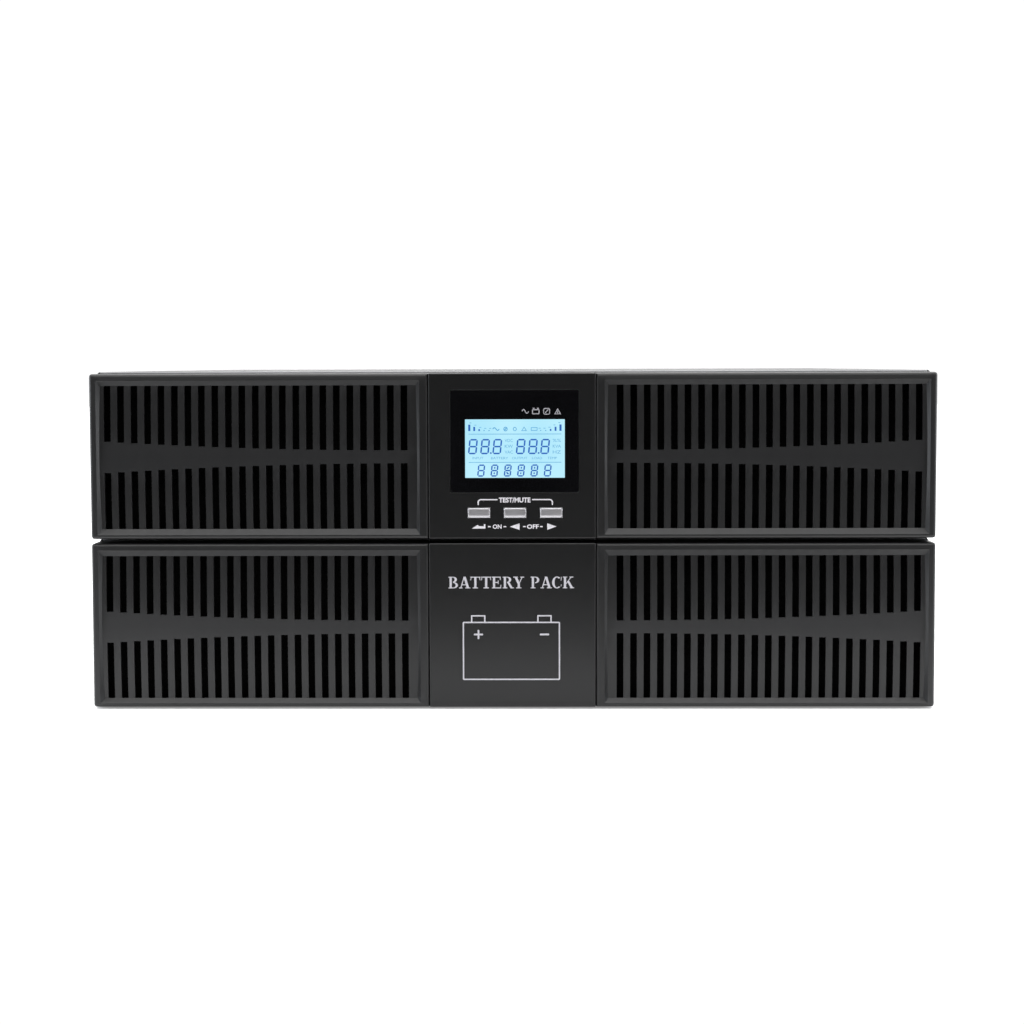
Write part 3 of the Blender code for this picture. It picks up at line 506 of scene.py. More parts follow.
def metal(name, colour, roughness, stretch=(1, 1, 1), scale=400, scratch=0.00002):
    """Plated or bare metal, brushed along the axis whose stretch is small."""
    material, tree, shader = make_finish(name, colour, roughness, 1.0)
    tinted(tree, shader, colour, 0.08, 60)
    streaks = noise(tree, scale, 3.0, stretch)
    tree.links.new(remap(tree, streaks, roughness - 0.08, roughness + 0.10), shader.inputs["Roughness"])
    add_bump(tree, shader, streaks, scratch)
    return material


def silver_paint(name, colour, roughness):
    """Silver lacquer on plastic keys: fine metallic flake under a satin coat."""
    material, tree, shader = make_finish(name, colour, roughness, 0.8)
    flake = remap(tree, noise(tree, 5200, 1.0), 0.0, 1.0)
    darker = [c * 0.93 for c in colour]
    tree.links.new(mix_colour(tree, flake, darker, colour), shader.inputs["Base Color"])
    vary_roughness(tree, shader, 260, roughness - 0.03, roughness + 0.04)
    add_bump(tree, shader, noise(tree, 2400, 1.0), 0.000006)
    return material


def foam(name, colour=(0.0022, 0.0022, 0.0022)):
    """Open-celled near-black foam, used as painted shade behind the grille slots."""
    material, tree, shader = make_finish(name, colour, 0.95)
    shader.inputs["Specular IOR Level"].default_value = 0.05
    tinted(tree, shader, colour, 0.4, 900)
    add_bump(tree, shader, noise(tree, 900, 3.0), 0.0006)
    return material


def gloss_black(name, colour=(0.002, 0.002, 0.0025)):
    """Polished acrylic, printed black from behind, with the faintest polishing haze."""
    material, tree, shader = make_finish(name, colour, 0.07)
    tinted(tree, shader, colour, 0.3, 25)
    vary_roughness(tree, shader, 90, 0.05, 0.11)
    add_bump(tree, shader, noise(tree, 14, 1.0), 0.00002)
    return material


def backlit(name):
    """The lit LCD: pale cyan, a little uneven from its two edge lamps."""
    material, tree, shader = make_finish(name, (0.02, 0.05, 0.06), 0.12)
    light_up(tree, shader, 28, 1.0, (0.40, 0.75, 0.91), (0.53, 0.85, 0.96))
    add_bump(tree, shader, noise(tree, 40, 1.0), 0.00001)
    return material


def lcd_ink(name, colour):
    """An energised segment, which lets a little of the backlight through."""
    material, tree, shader = make_finish(name, (0.01, 0.03, 0.08), 0.2)
    light_up(tree, shader, 400, 3.0, [c * 0.85 for c in colour], colour)
    return material


def print_ink(name, colour=(0.72, 0.70, 0.74)):
    """Silk-screen ink, slightly uneven and a touch glossy."""
    material, tree, shader = make_finish(name, colour, 0.45)
    tinted(tree, shader, colour, 0.07, 900)
    add_bump(tree, shader, noise(tree, 3000, 1.0), 0.00002)
    return material


def laminate(name):
    """Green circuit board with copper runs under the solder mask."""
    material, tree, shader = make_finish(name, (0.01, 0.10, 0.04), 0.35)
    place = tree.nodes.new("ShaderNodeTexCoord")
    runs = tree.nodes.new("ShaderNodeTexBrick")
    runs.inputs["Scale"].default_value = 90
    runs.inputs["Mortar Size"].default_value = 0.012
    runs.inputs["Color1"].default_value = (0.008, 0.085, 0.03, 1)
    runs.inputs["Color2"].default_value = (0.010, 0.110, 0.04, 1)
    runs.inputs["Mortar"].default_value = (0.05, 0.22, 0.07, 1)
    tree.links.new(place.outputs["Object"], runs.inputs["Vector"])
    tree.links.new(runs.outputs["Color"], shader.inputs["Base Color"])
    vary_roughness(tree, shader, 200, 0.28, 0.42)
    add_bump(tree, shader, runs.outputs["Fac"], 0.00003)
    return material


def winding(name):
    """Enamelled copper wire, side by side around a ring core."""
    material, tree, shader = make_finish(name, (0.62, 0.22, 0.07), 0.3, 1.0)
    place = tree.nodes.new("ShaderNodeTexCoord")
    turns = tree.nodes.new("ShaderNodeTexWave")
    turns.inputs["Scale"].default_value = 260
    turns.inputs["Distortion"].default_value = 0.6
    tree.links.new(place.outputs["Object"], turns.inputs["Vector"])
    colour = mix_colour(tree, turns.outputs["Fac"], (0.16, 0.04, 0.015), (0.72, 0.28, 0.10))
    tree.links.new(colour, shader.inputs["Base Color"])
    vary_roughness(tree, shader, 150, 0.22, 0.42)
    add_bump(tree, shader, turns.outputs["Fac"], 0.0003)
    return material


BEZEL_COLOUR = (0.0080, 0.0080, 0.0083)
PANEL_COLOUR = (0.0052, 0.0052, 0.0054)

FINISHES = {
    # The bezel's lighter edge tone is a painted highlight along its rims and borders.
    "bezel_plastic": moulded(
        "bezel_plastic_look", BEZEL_COLOUR, 0.37, 0.000012, wear_and_highlight_tone=(0.019, 0.019, 0.020), haze=0.012
    ),
    "black_sheet": powder_coat("black_sheet_look", (0.0085, 0.0085, 0.0088)),
    "window_plastic": gloss_black("window_look"),
    "lcd_face": backlit("lcd_look"),
    "button_plastic": silver_paint("button_look", (0.53, 0.52, 0.54), 0.36),
    "circuit_board": laminate("board_look"),
    "heatsink_aluminium": metal("aluminium_look", (0.72, 0.72, 0.73), 0.34, (1, 0.03, 1)),
    "capacitor_sleeve": moulded("sleeve_look", (0.012, 0.018, 0.055), 0.25, 0.00001, 800),
    "copper_winding": winding("winding_look"),
    "battery_case": moulded("battery_look", (0.055, 0.057, 0.062), 0.5, 0.00008, 1200, 0.12),
    "zinc_steel": metal("zinc_look", (0.42, 0.42, 0.40), 0.38, (1, 0.1, 1), 200),
    "fan_plastic": moulded("fan_look", (0.012, 0.012, 0.0125), 0.42, 0.00003, 1800),
    "guard_wire": metal("guard_look", (0.45, 0.45, 0.46), 0.24, (1, 1, 1), 900, 0.00001),
    "socket_plastic": moulded("socket_look", (0.014, 0.014, 0.015), 0.38, 0.00003, 2000),
    "connector_plastic": moulded("connector_look", (0.15, 0.15, 0.16), 0.45, 0.00004, 1500),
    "breaker_plastic": moulded("breaker_look", (0.47, 0.46, 0.43), 0.42, 0.00004, 1400, 0.06),
    "lever_plastic": moulded("lever_look", (0.012, 0.012, 0.012), 0.30, 0.00002, 1600),
}
WHITE_INK = print_ink("white_ink")
SOFT_INK = print_ink("soft_white_ink", (0.52, 0.51, 0.55))
DIM_INK = print_ink("unlit_icon_ink", (0.38, 0.37, 0.40))
PANEL_PLASTIC = moulded("centre_panel_look", PANEL_COLOUR, 0.33, 0.000012, tint=0.06, haze=0.01)
NICKEL = metal("nickel_look", (0.46, 0.45, 0.42), 0.28, (1, 1, 1), 700, 0.000008)
BRASS = metal("brass_look", (0.80, 0.58, 0.26), 0.26, (1, 1, 1), 700, 0.000008)
DARK_SCREW = metal("black_oxide_look", (0.075, 0.075, 0.08), 0.34, (1, 1, 1), 900, 0.000010)
# Light grey for the top covers' front lips: a painted highlight along the front top edge.
LIP_PAINTED_HIGHLIGHT = powder_coat("lip_painted_highlight_look", (0.24, 0.24, 0.245), 0.34, (0.28, 0.28, 0.285))
DARK_INK = print_ink("dark_ink", (0.012, 0.012, 0.013))
SEGMENT_INK = lcd_ink("segment_ink", (0.020, 0.115, 0.46))
FAINT_INK = lcd_ink("faint_segment_ink", (0.13, 0.42, 0.68))
# Near-black foam behind the grilles: painted shade inside the slots.
SLOT_SHADE_FOAM = foam("slot_shade_foam_look")
BEZEL_PLASTIC = FINISHES["bezel_plastic"]
WINDOW_PLASTIC = FINISHES["window_plastic"]
FAN_PLASTIC = FINISHES["fan_plastic"]
CONNECTOR_PLASTIC = FINISHES["connector_plastic"]
ZINC = FINISHES["zinc_steel"]


# Carried-over CAD nodes


def dress(obj):
    """A CAD node's finish, by its material slot, with its edges rounded by modifiers."""
    slot = obj.data.materials[0].name
    obj.data.materials.clear()
    obj.data.materials.append(FINISHES[slot])
    obj.data.shade_smooth()
    weld = obj.modifiers.new("weld", "WELD")
    weld.merge_threshold = 0.00001
    flat = obj.modifiers.new("flat faces", "DECIMATE")
    flat.decimate_type = "DISSOLVE"
    flat.angle_limit = math.radians(0.5)
    soften(obj, 0.0003, angle=40, harden=False)
    shade_flat_faces(obj)


# Front grilles


def grille_columns():
    """(distance from the outer edge, kind, slot number) of each upright line of a grille."""
    last = SLOT_COUNT - 1
    columns = [(0.0, "edge", 0), (BORDER_OUTER, "border", 0), (BORDER_OUTER, "outer floor", 0)]
    for slot in range(SLOT_COUNT):
        centre = SLOT_MARGIN + SLOT_PITCH * slot
        columns.append((centre - SLOT_WIDTH / 2, "slot", slot))
        columns.append((centre + SLOT_WIDTH / 2, "slot", slot))
    inner_border = GRILLE_WIDTH - BORDER_INNER
    columns.append((inner_border, "inner floor", last))
    columns.append((inner_border, "border", last))
    columns.append((GRILLE_WIDTH, "edge", last))
    return columns


def recess_heights(unit, low, high):
    """The low and high ends of a recess floor, and the middle of its band."""
    below, above = RECESS_LIMITS[unit]
    return low + below, high - above, (low + high) / 2 - BAND_DROP[unit]


def grille_heights(low, high, recess, slot):
    """Heights of a grille's rows where they cross one slot."""
    floor_low, floor_high, middle = recess
    along = slot / (SLOT_COUNT - 1)
    band = BAND_HALF_INNER + (BAND_HALF_OUTER - BAND_HALF_INNER) * (1 - along) ** 2
    steps = [step / SLOT_ROWS for step in range(SLOT_ROWS + 1)]
    lower = [floor_low + (middle - band - floor_low) * step for step in steps]
    upper = [floor_high - (floor_high - middle - band) * step for step in reversed(steps)]
    return [low, low + BORDER_BOTTOM, *lower, middle, *upper, high - BORDER_TOP, high]


def recess_depth(recess, z):
    """The floor bows forward at mid-height."""
    along = (z - recess[0]) / (recess[1] - recess[0])
    bow = 1 - (2 * along - 1) ** 2
    return RECESS_DEPTH - (RECESS_DEPTH - RECESS_DEPTH_MIDDLE) * bow


def grille_point(column, row, low, high, recess, side):
    distance, kind, slot = column
    heights = grille_heights(low, high, recess, slot)
    z = heights[row]
    on_floor = 2 <= row <= len(heights) - 3
    depth = recess_depth(recess, z) if on_floor and ("floor" in kind or kind == "slot") else 0.0
    lean = BEVEL_SIDE * ((depth if on_floor else RECESS_DEPTH) / RECESS_DEPTH) ** 0.6
    if kind == "outer floor":
        distance += lean
    if kind == "inner floor":
        distance -= lean
    if kind == "edge" and slot == 0:
        depth = BORDER_FALL_OUTER
    if row == len(heights) - 1:
        depth = max(depth, BORDER_FALL)
    return Vector((side * (FACE_HALF - distance), FACE_Y + depth, z))


def grille_surface(low, high, recess, side):
    """The front of a grille as quads, open at its slots, with mitred recess corners."""
    columns = grille_columns()
    if side > 0:
        columns.reverse()
    rows = len(grille_heights(low, high, recess, 0))
    bm = bmesh.new()
    verts = [
        [bm.verts.new(grille_point(column, row, low, high, recess, side)) for row in range(rows)]
        for column in columns
    ]
    slot_rows = set(range(2, 2 + SLOT_ROWS)) | set(range(rows - 3 - SLOT_ROWS, rows - 3))
    last_column = len(columns) - 3
    last_row = rows - 3
    for i in range(len(columns) - 1):
        is_slot = columns[i][1] == columns[i + 1][1] == "slot" and columns[i][2] == columns[i + 1][2]
        for j in range(rows - 1):
            if is_slot and j in slot_rows:
                continue
            corners = (verts[i][j], verts[i + 1][j], verts[i + 1][j + 1], verts[i][j + 1])
            if (i, j) in ((1, 1), (last_column, last_row)):
                bm.faces.new((corners[0], corners[1], corners[2]))
                bm.faces.new((corners[0], corners[2], corners[3]))
            elif (i, j) in ((1, last_row), (last_column, 1)):
                bm.faces.new((corners[0], corners[1], corners[3]))
                bm.faces.new((corners[1], corners[2], corners[3]))
            else:
                bm.faces.new(corners)
    return bm, verts


def add_skirt(bm, verts, back, corner_weights, rim_rounding=RIM_ROUNDING):
    """Sides that run back from the rim of a front surface; rim and corner edges get bevel weights."""
    bottom = [column[0] for column in verts]
    right = verts[-1]
    top = [column[-1] for column in reversed(verts)]
    left = list(reversed(verts[0]))
    rim = bottom[:-1] + right[:-1] + top[:-1] + left[:-1]
    behind = [bm.verts.new((vert.co.x, back, vert.co.z)) for vert in rim]
    bridge(bm, [behind, rim])
    weights = bm.edges.layers.float.new("bevel_weight_edge")
    for index in range(len(rim)):
        edge = bm.edges.get((rim[index - 1], rim[index]))
        edge[weights] = min(1.0, rim_rounding / CORNER_ROUNDING)
    corners = (verts[0][0], verts[-1][0], verts[-1][-1], verts[0][-1])
    for corner, weight in zip(corners, corner_weights):
        edge = bm.edges.get((corner, behind[rim.index(corner)]))
        edge[weights] = weight


def finish_shell(obj):
    bevel_marked(obj, CORNER_ROUNDING, 4)
    thicken(obj, "wall", BEZEL_WALL, -1).use_even_offset = True
    soften(obj, EDGE_ROUNDING, harden=False)
    shade_flat_faces(obj)
    return obj


def grille(unit, side_name, side):
    node = f"{unit}_{side_name}_grille"
    low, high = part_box(node)
    bm, verts = grille_surface(low.z, high.z, recess_heights(unit, low.z, high.z), side)
    corner_weights = (1, SEAM_WEIGHT, SEAM_WEIGHT, 1) if side < 0 else (SEAM_WEIGHT, 1, 1, SEAM_WEIGHT)
    add_skirt(bm, verts, BEZEL_BACK, corner_weights)
    return finish_shell(piece(f"{node}_moulding", bm, BEZEL_PLASTIC, "root", (node,)))


def slot_shade_sheet(unit, side_name):
    """A quilted near-black foam sheet that lines the back of a grille's moulding: painted shade that keeps
    the slots dark.
    """
    low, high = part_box(f"{unit}_{side_name}_grille")
    inset = BEZEL_WALL + 0.0004
    behind = 0.0045
    quilt_height = 0.0004
    quilt_pitch = 900
    steps = 40
    bm = bmesh.new()
    for vert in bmesh.ops.create_grid(bm, x_segments=steps, y_segments=steps // 2, size=0.5)["verts"]:
        x = (low.x + high.x) / 2 + vert.co.x * (high.x - low.x - 2 * inset)
        z = (low.z + high.z) / 2 + vert.co.y * (high.z - low.z - 2 * inset)
        quilt = quilt_height * math.sin(x * quilt_pitch) * math.sin(z * quilt_pitch)
        vert.co = (x, BEZEL_BACK - behind + quilt, z)
    outward(bm)
    sheet = piece(f"{unit}_{side_name}_slot_shade_sheet", bm, SLOT_SHADE_FOAM, "root")
    thicken(sheet, "depth", 0.0025)
    return sheet


# Centre panels


def plate_surface(half, low, high, holes):
    """A flat front at the face plane with rectangular holes, given as (low x, high x, low z, high z)."""
    xs = sorted({-half, half} | {x for hole in holes for x in hole[:2]})
    zs = sorted({low, high} | {z for hole in holes for z in hole[2:]})
    bm = bmesh.new()
    verts = [[bm.verts.new((x, FACE_Y, z)) for z in zs] for x in xs]

    def is_open(i, j):
        x = (xs[i] + xs[i + 1]) / 2
        z = (zs[j] + zs[j + 1]) / 2
        return any(hole[0] < x < hole[1] and hole[2] < z < hole[3] for hole in holes)

    add_grid(bm, verts, is_open)
    for column in verts:
        for vert in column:
            if not vert.link_faces:
                bm.verts.remove(vert)
    return bm, verts


def hole_around(box, clearance):
    low, high = box
    return (low.x - clearance, high.x + clearance, low.z - clearance, high.z + clearance)


def cap_box(node):
    """A button's cap without the flange behind the panel."""
    low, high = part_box(node)
    reach = Vector((FLANGE_REACH, 0, FLANGE_REACH))
    return low + reach, high - reach


def centre_panel(node, body, holes):
    low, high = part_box(node)
    bm, verts = plate_surface(PANEL_HALF + SEAM_CLOSING, low.z, high.z, holes)
    add_skirt(bm, verts, BEZEL_BACK, (SEAM_WEIGHT,) * 4, PANEL_RIM_ROUNDING)
    return finish_shell(piece(f"{node}_moulding", bm, PANEL_PLASTIC, body, (node,)))


def display_rails():
    """Two guide plates behind the display, which stay in the chassis as it slides out."""
    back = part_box("display_housing")[1].y
    middle = middle_of("display_housing")[1]
    half_thickness = 0.0008
    half_height = 0.020
    root = 0.010  # inside the housing
    bm = bmesh.new()
    for x in (0.001 - PANEL_HALF, PANEL_HALF - 0.001):
        low = (x - half_thickness, BEZEL_BACK - root, middle - half_height)
        add_box(bm, low, (x + half_thickness, back, middle + half_height))
    return soften(piece("display_guide_rails", bm, BEZEL_PLASTIC, "display"), 0.0003)


# Display window, LCD and buttons


def window():
    """A gloss black plate with an opening over the lit part of the LCD."""
    low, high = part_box("display_window")
    size = (high.x - low.x, high.z - low.z)
    bm = bmesh.new()
    outer = rounded_rectangle(middle_of("display_window"), size, 0.0010)
    inner = rounded_rectangle(LCD_CENTRE, LCD_SIZE, LCD_CORNER)
    add_frame(bm, outer, inner, low.y, high.y)
    plate = piece(
        "display_window_plate", bm, WINDOW_PLASTIC, "display", ("display_window",)
    )
    return soften(plate, 0.00012)


def lcd_panel():
    """The lit glass just behind the window's face, on its module."""
    low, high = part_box("lcd_module")
    bm = bmesh.new()
    add_prism(bm, rounded_rectangle(LCD_CENTRE, LCD_SIZE, LCD_CORNER), LCD_FRONT, low.y)
    glass = piece("lcd_glass", bm, FINISHES["lcd_face"], "display")
    bm = bmesh.new()
    add_box(bm, (low.x, low.y + 0.0002, low.z), high)
    module = piece("lcd_module_body", bm, WINDOW_PLASTIC, "display", ("lcd_module",))
    return soften(glass, 0.0001), soften(module, 0.0004)


def ink_layer(surface):
    """The front and back of a print on a surface that faces the front."""
    return surface - INK_THICKNESS, surface


def ink_piece(name, bm, material, body):
    outward(bm)
    obj = piece(name, bm, material, body)
    obj.data.shade_flat()
    return obj


def segment(start, end, half_width, gap):
    """A bar with pointed ends."""
    start, end = Vector(start), Vector(end)
    along = (end - start).normalized()
    across = Vector((-along.y, along.x)) * half_width
    start += along * gap
    end -= along * gap
    point = along * half_width
    return [
        start, start + point - across, end - point - across,
        end, end - point + across, start + point + across,
    ]


def seven_segments(bm, corner, size, stroke, layer, inner=""):
    """A figure eight of seven pointed bars, leaning to the right, with optional strokes inside."""
    gap = stroke * 0.16
    left, right = stroke / 2, size[0] - stroke / 2
    low, high = stroke / 2, size[1] - stroke / 2
    half = size[1] / 2
    middle = size[0] / 2
    bars = [((left, z), (right, z)) for z in (low, half, high)]
    for x in (left, right):
        bars += [((x, low), (x, half)), ((x, half), (x, high))]
    strokes = {
        "|": [
            ((middle, low + stroke), (middle, half - stroke)),
            ((middle, half + stroke), (middle, high - stroke)),
        ],
        "/": [((left + stroke, half + stroke), (right - stroke, high - stroke))],
        "\\": [((left + stroke, half - stroke), (right - stroke, low + stroke))],
    }
    for kind in inner:
        bars += strokes[kind]
    for start, end in bars:
        points = segment(start, end, stroke / 2, gap)
        add_prism(bm, [(corner[0] + p.x + LCD_SLANT * p.y, corner[1] + p.y) for p in points], *layer)


def lettering(name, text, centre, height, width, face, material, body, bold=0.0, behind=False):
    """Plain raised lettering with a cap height and a total width, read from the front or from behind."""
    curve = bpy.data.curves.new(name, "FONT")
    curve.body = text
    curve.resolution_u = 3
    obj = new_object(name, curve)
    plain = baked_mesh(obj)
    xs = [vert.co.x for vert in plain.vertices]
    ys = [vert.co.y for vert in plain.vertices]
    bpy.data.meshes.remove(plain)
    scale = (width / (max(xs) - min(xs)), height / (max(ys) - min(ys)))
    curve.extrude = INK_THICKNESS / 2 / scale[1]
    curve.offset = bold
    mesh = baked_mesh(obj)
    discard(obj)
    middle = Vector(((min(xs) + max(xs)) / 2, (min(ys) + max(ys)) / 2, 0))
    about = Matrix.Rotation(math.pi if behind else 0, 4, "Z")
    raised = Matrix.Translation((0, -INK_THICKNESS / 2, 0)) @ Matrix.Rotation(math.pi / 2, 4, "X")
    size = Matrix.Diagonal((scale[0], scale[1], scale[1], 1))
    place = Matrix.Translation((centre[0], face, centre[1]))
    mesh.transform(place @ about @ raised @ size @ Matrix.Translation(-middle))
    bm = bmesh.new()
    bm.from_mesh(mesh)
    bpy.data.meshes.remove(mesh)
    bmesh.ops.remove_doubles(bm, verts=bm.verts, dist=0.000002)
    return ink_piece(name, bm, material, body)


def bar_graph(bm, faint, corner, side, layer):
    """Three lit steps of a level bar and two unlit ones, each with its mark above."""
    for step in range(5):
        height = max(0.0005, 0.0033 - 0.00115 * step)
        x = corner[0] + side * 0.00255 * step
        lit = step < 3
        size = (0.0011 - 0.00015 * step if lit else 0.0006, height)
        add_prism(bm if lit else faint, rectangle((x, corner[1] + height / 2), size), *layer)
        mark = (x + side * 0.0006, corner[1] + height + 0.0009)
        add_prism(faint, rectangle(mark, (0.0011, 0.0003)), *layer)


def lcd_graphics():
    """The LCD's test picture: two readings, six characters, level bars, rules, words and symbols."""
    layer = ink_layer(LCD_FRONT)
    left = LCD_CENTRE[0] - LCD_SIZE[0] / 2
    low = LCD_CENTRE[1] - LCD_SIZE[1] / 2
    bm = bmesh.new()
    for start in (0.0014, 0.0261):
        for index in range(3):
            corner = (left + start + 0.0063 * index, low + 0.0122)
            seven_segments(bm, corner, (0.0045, 0.0079), 0.00080, layer)
        point = (left + start + 0.0119, low + 0.0128)
        add_prism(bm, rectangle(point, (0.0008, 0.0008)), *layer)
    for index, inner in enumerate(("", "|", "/\\", "|", "|", "")):
        corner = (left + 0.0061 + 0.00688 * index, low + 0.0006)
        seven_segments(bm, corner, (0.0037, 0.0063), 0.00072, layer, inner)
    faint = bmesh.new()
    for start, side in ((0.0022, 1), (0.0493, -1)):
        bar_graph(bm, faint, (left + start, low + 0.0242), side, layer)
    ink_piece("lcd_segments", bm, SEGMENT_INK, "display")
    ink_piece("lcd_level_marks", faint, FAINT_INK, "display")
    bm = bmesh.new()
    for z in (0.0226, 0.0080):
        add_prism(bm, rectangle((LCD_CENTRE[0], low + z), (0.0480, 0.0003)), *layer)
    ink_piece("lcd_rules", bm, FAINT_INK, "display")
    lcd_words(left, low, layer[0])
    lcd_symbols(left, low + 0.0252, layer)


def lcd_words(left, low, face):
    """Headings between the two rows of figures, and the units beside them."""
    headings = (
        ("INPUT", 0.0066, 0.0056),
        ("BATTERY", 0.0178, 0.0088),
        ("OUTPUT", 0.0282, 0.0078),
        ("LOAD", 0.0372, 0.0052),
        ("TEMP", 0.0450, 0.0048),
    )
    words = [(f"lcd_word_{text.lower()}", text, x, 0.0102, 0.0012, width) for text, x, width in headings]
    for index, text in enumerate(("VDC", "KW", "VAC", "%%", "KVA", "HZ")):
        x = 0.0226 if index < 3 else 0.0474
        words.append((f"lcd_unit_{index + 1}", text, x, 0.0193 - 0.0030 * (index % 3), 0.0016, 0.0042))
    for name, text, x, z, height, width in words:
        place = (left + x, low + z)
        lettering(name, text, place, height, width, face, FAINT_INK, "display")


def wave_path(x, z, width, height, steps):
    """One period of a sine."""
    return [
        (x + width * step / steps, z + height * math.sin(2 * math.pi * step / steps))
        for step in range(steps + 1)
    ]


def add_triangle_frame(bm, middle, half, base, peak, share, layer):
    """A warning triangle, hollow by a share of its size about a point; heights are from that point."""
    x, z = middle
    corners = [(-half, base), (half, base), (0, peak)]
    outer = [(x + dx, z + dz) for dx, dz in corners]
    inner = [(x + dx * share, z + dz * share) for dx, dz in corners]
    add_frame(bm, outer, inner, *layer)


def lcd_symbols(left, z, layer):
    """A wave, a barred ring, a sun, a warning triangle and a battery in the top row."""
    bm = bmesh.new()
    add_ribbon(bm, wave_path(left + 0.0143, z, 0.0034, 0.0007, 10), 0.0005, *layer)
    for x, radius in ((0.0209, 0.0011), (0.0257, 0.0010)):
        centre = (left + x, z)
        add_frame(
            bm, ellipse(centre, (radius, radius * 1.1)), ellipse(centre, (radius * 0.6, radius * 0.7)), *layer
        )
    add_ribbon(bm, [(left + 0.0202, z - 0.0009), (left + 0.0216, z + 0.0009)], 0.0006, *layer)
    add_triangle_frame(bm, (left + 0.0305, z - 0.0002), 0.0015, -0.0008, 0.0015, 0.6, layer)
    centre = (left + 0.0357, z)
    add_frame(bm, rectangle(centre, (0.0034, 0.0018)), rectangle(centre, (0.0027, 0.0011)), *layer)
    ink_piece("lcd_symbols", bm, FAINT_INK, "display")


def edge_spread(low, high, rounding):
    """Grid lines across a cap, close together where its edges curve."""
    steps = [rounding * (1 - math.cos(angle)) for angle in quarter_angles(5)]
    middle = [low + (high - low) * part for part in (0.30, 0.38, 0.46, 0.60)]
    return [low + step for step in steps] + middle + [high - step for step in reversed(steps)]


def cap_depth(low, high, x, z):
    """How far a button's face lies back: rounded at its edges, and leaning back at its foot."""
    over_x = max(0.0, 1 - min(x - low.x, high.x - x) / CAP_ROUNDING)
    over_z = max(0.0, 1 - min(z - low.z, high.z - z) / CAP_ROUNDING)
    over = min(1.0, math.hypot(over_x, over_z))
    lean = max(0.0, 1 - (z - low.z) / (0.42 * (high.z - low.z)))
    return CAP_RISE * (1 - math.sqrt(1 - over * over)) + CAP_LEAN * lean * lean


def button(node, body):
    """A pillow-shaped cap, with its flange and stem."""
    low, high = cap_box(node)
    flange_front = FACE_Y + 0.0029
    bm = bmesh.new()
    rows = edge_spread(low.z, high.z, CAP_ROUNDING)
    verts = [
        [bm.verts.new((x, low.y + cap_depth(low, high, x, z), z)) for z in rows]
        for x in edge_spread(low.x, high.x, CAP_ROUNDING)
    ]
    add_grid(bm, verts)
    add_skirt(bm, verts, flange_front, (0.3,) * 4)
    rim = [edge for edge in bm.edges if edge.is_boundary]
    bmesh.ops.contextual_create(bm, geom=rim)
    flange_low = (low.x - FLANGE_REACH, flange_front, low.z - FLANGE_REACH)
    add_box(bm, flange_low, (high.x + FLANGE_REACH, FACE_Y + 0.0038, high.z + FLANGE_REACH))
    middle = (low + high) / 2
    half = 0.0015
    stem_low = (middle.x - half, FACE_Y + 0.0036, middle.z - half)
    add_box(bm, stem_low, (middle.x + half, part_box(node)[1].y, middle.z + half))
    cap = piece(f"{node}_cap", bm, FINISHES["button_plastic"], body, (node,))
    bevel_marked(cap, 0.0006, 3)
    return soften(cap, 0.00015)


# Printing on the front


def bracket_lines():
    """Two lines that reach from the words between them down to the outer buttons."""
    z = unit_low("ups") + 0.0203
    corner = 0.0014
    bm = bmesh.new()
    for side, words_end, x in ((-1, -0.0076, -0.0176), (1, 0.0103, 0.0208)):
        turn = (x - side * corner, z - corner)
        path = [(words_end, z)]
        for angle in quarter_angles(5):
            path.append((turn[0] + side * corner * math.sin(angle), turn[1] + corner * math.cos(angle)))
        path.append((x, z - 0.0028))
        add_ribbon(bm, path, 0.00062, *ink_layer(FACE_Y))
    ink_piece("test_bracket_lines", bm, WHITE_INK, "display")


def key_symbols():
    """A return arrow and two triangles under the buttons, the dashes and the words."""
    low = unit_low("ups")
    z = low + 0.0063
    layer = ink_layer(FACE_Y)
    bm = bmesh.new()
    arrow = [
        (-0.0210, z - 0.0010), (-0.0139, z - 0.0010), (-0.0139, z + 0.0013), (-0.0147, z + 0.0013),
        (-0.0147, z + 0.0002), (-0.0173, z + 0.0003), (-0.0178, z + 0.0010),
    ]
    add_prism(bm, arrow, *layer)
    for tip, base in ((-0.0012, 0.0038), (0.0229, 0.0181)):
        corners = [(tip, z), (base, z - 0.0017), (base, z + 0.0017)]
        add_prism(bm, corners if tip < base else corners[::-1], *layer)
    for x in (-0.0119, -0.0038, 0.0063, 0.0151):
        add_prism(bm, rectangle((x, z), (0.0014, 0.0006)), *layer)
    ink_piece("key_symbols", bm, WHITE_INK, "display")
    words = (
        ("word_on", "ON", (-0.0078, z), 0.0021, 0.0044, 0.03),
        ("word_off", "OFF", (0.0107, z), 0.0021, 0.0060, 0.03),
        ("word_test_mute", "TEST/MUTE", (0.0013, low + 0.0201), 0.0024, 0.0162, 0.035),
    )
    for name, text, centre, height, width, bold in words:
        lettering(name, text, centre, height, width, FACE_Y, WHITE_INK, "display", bold)


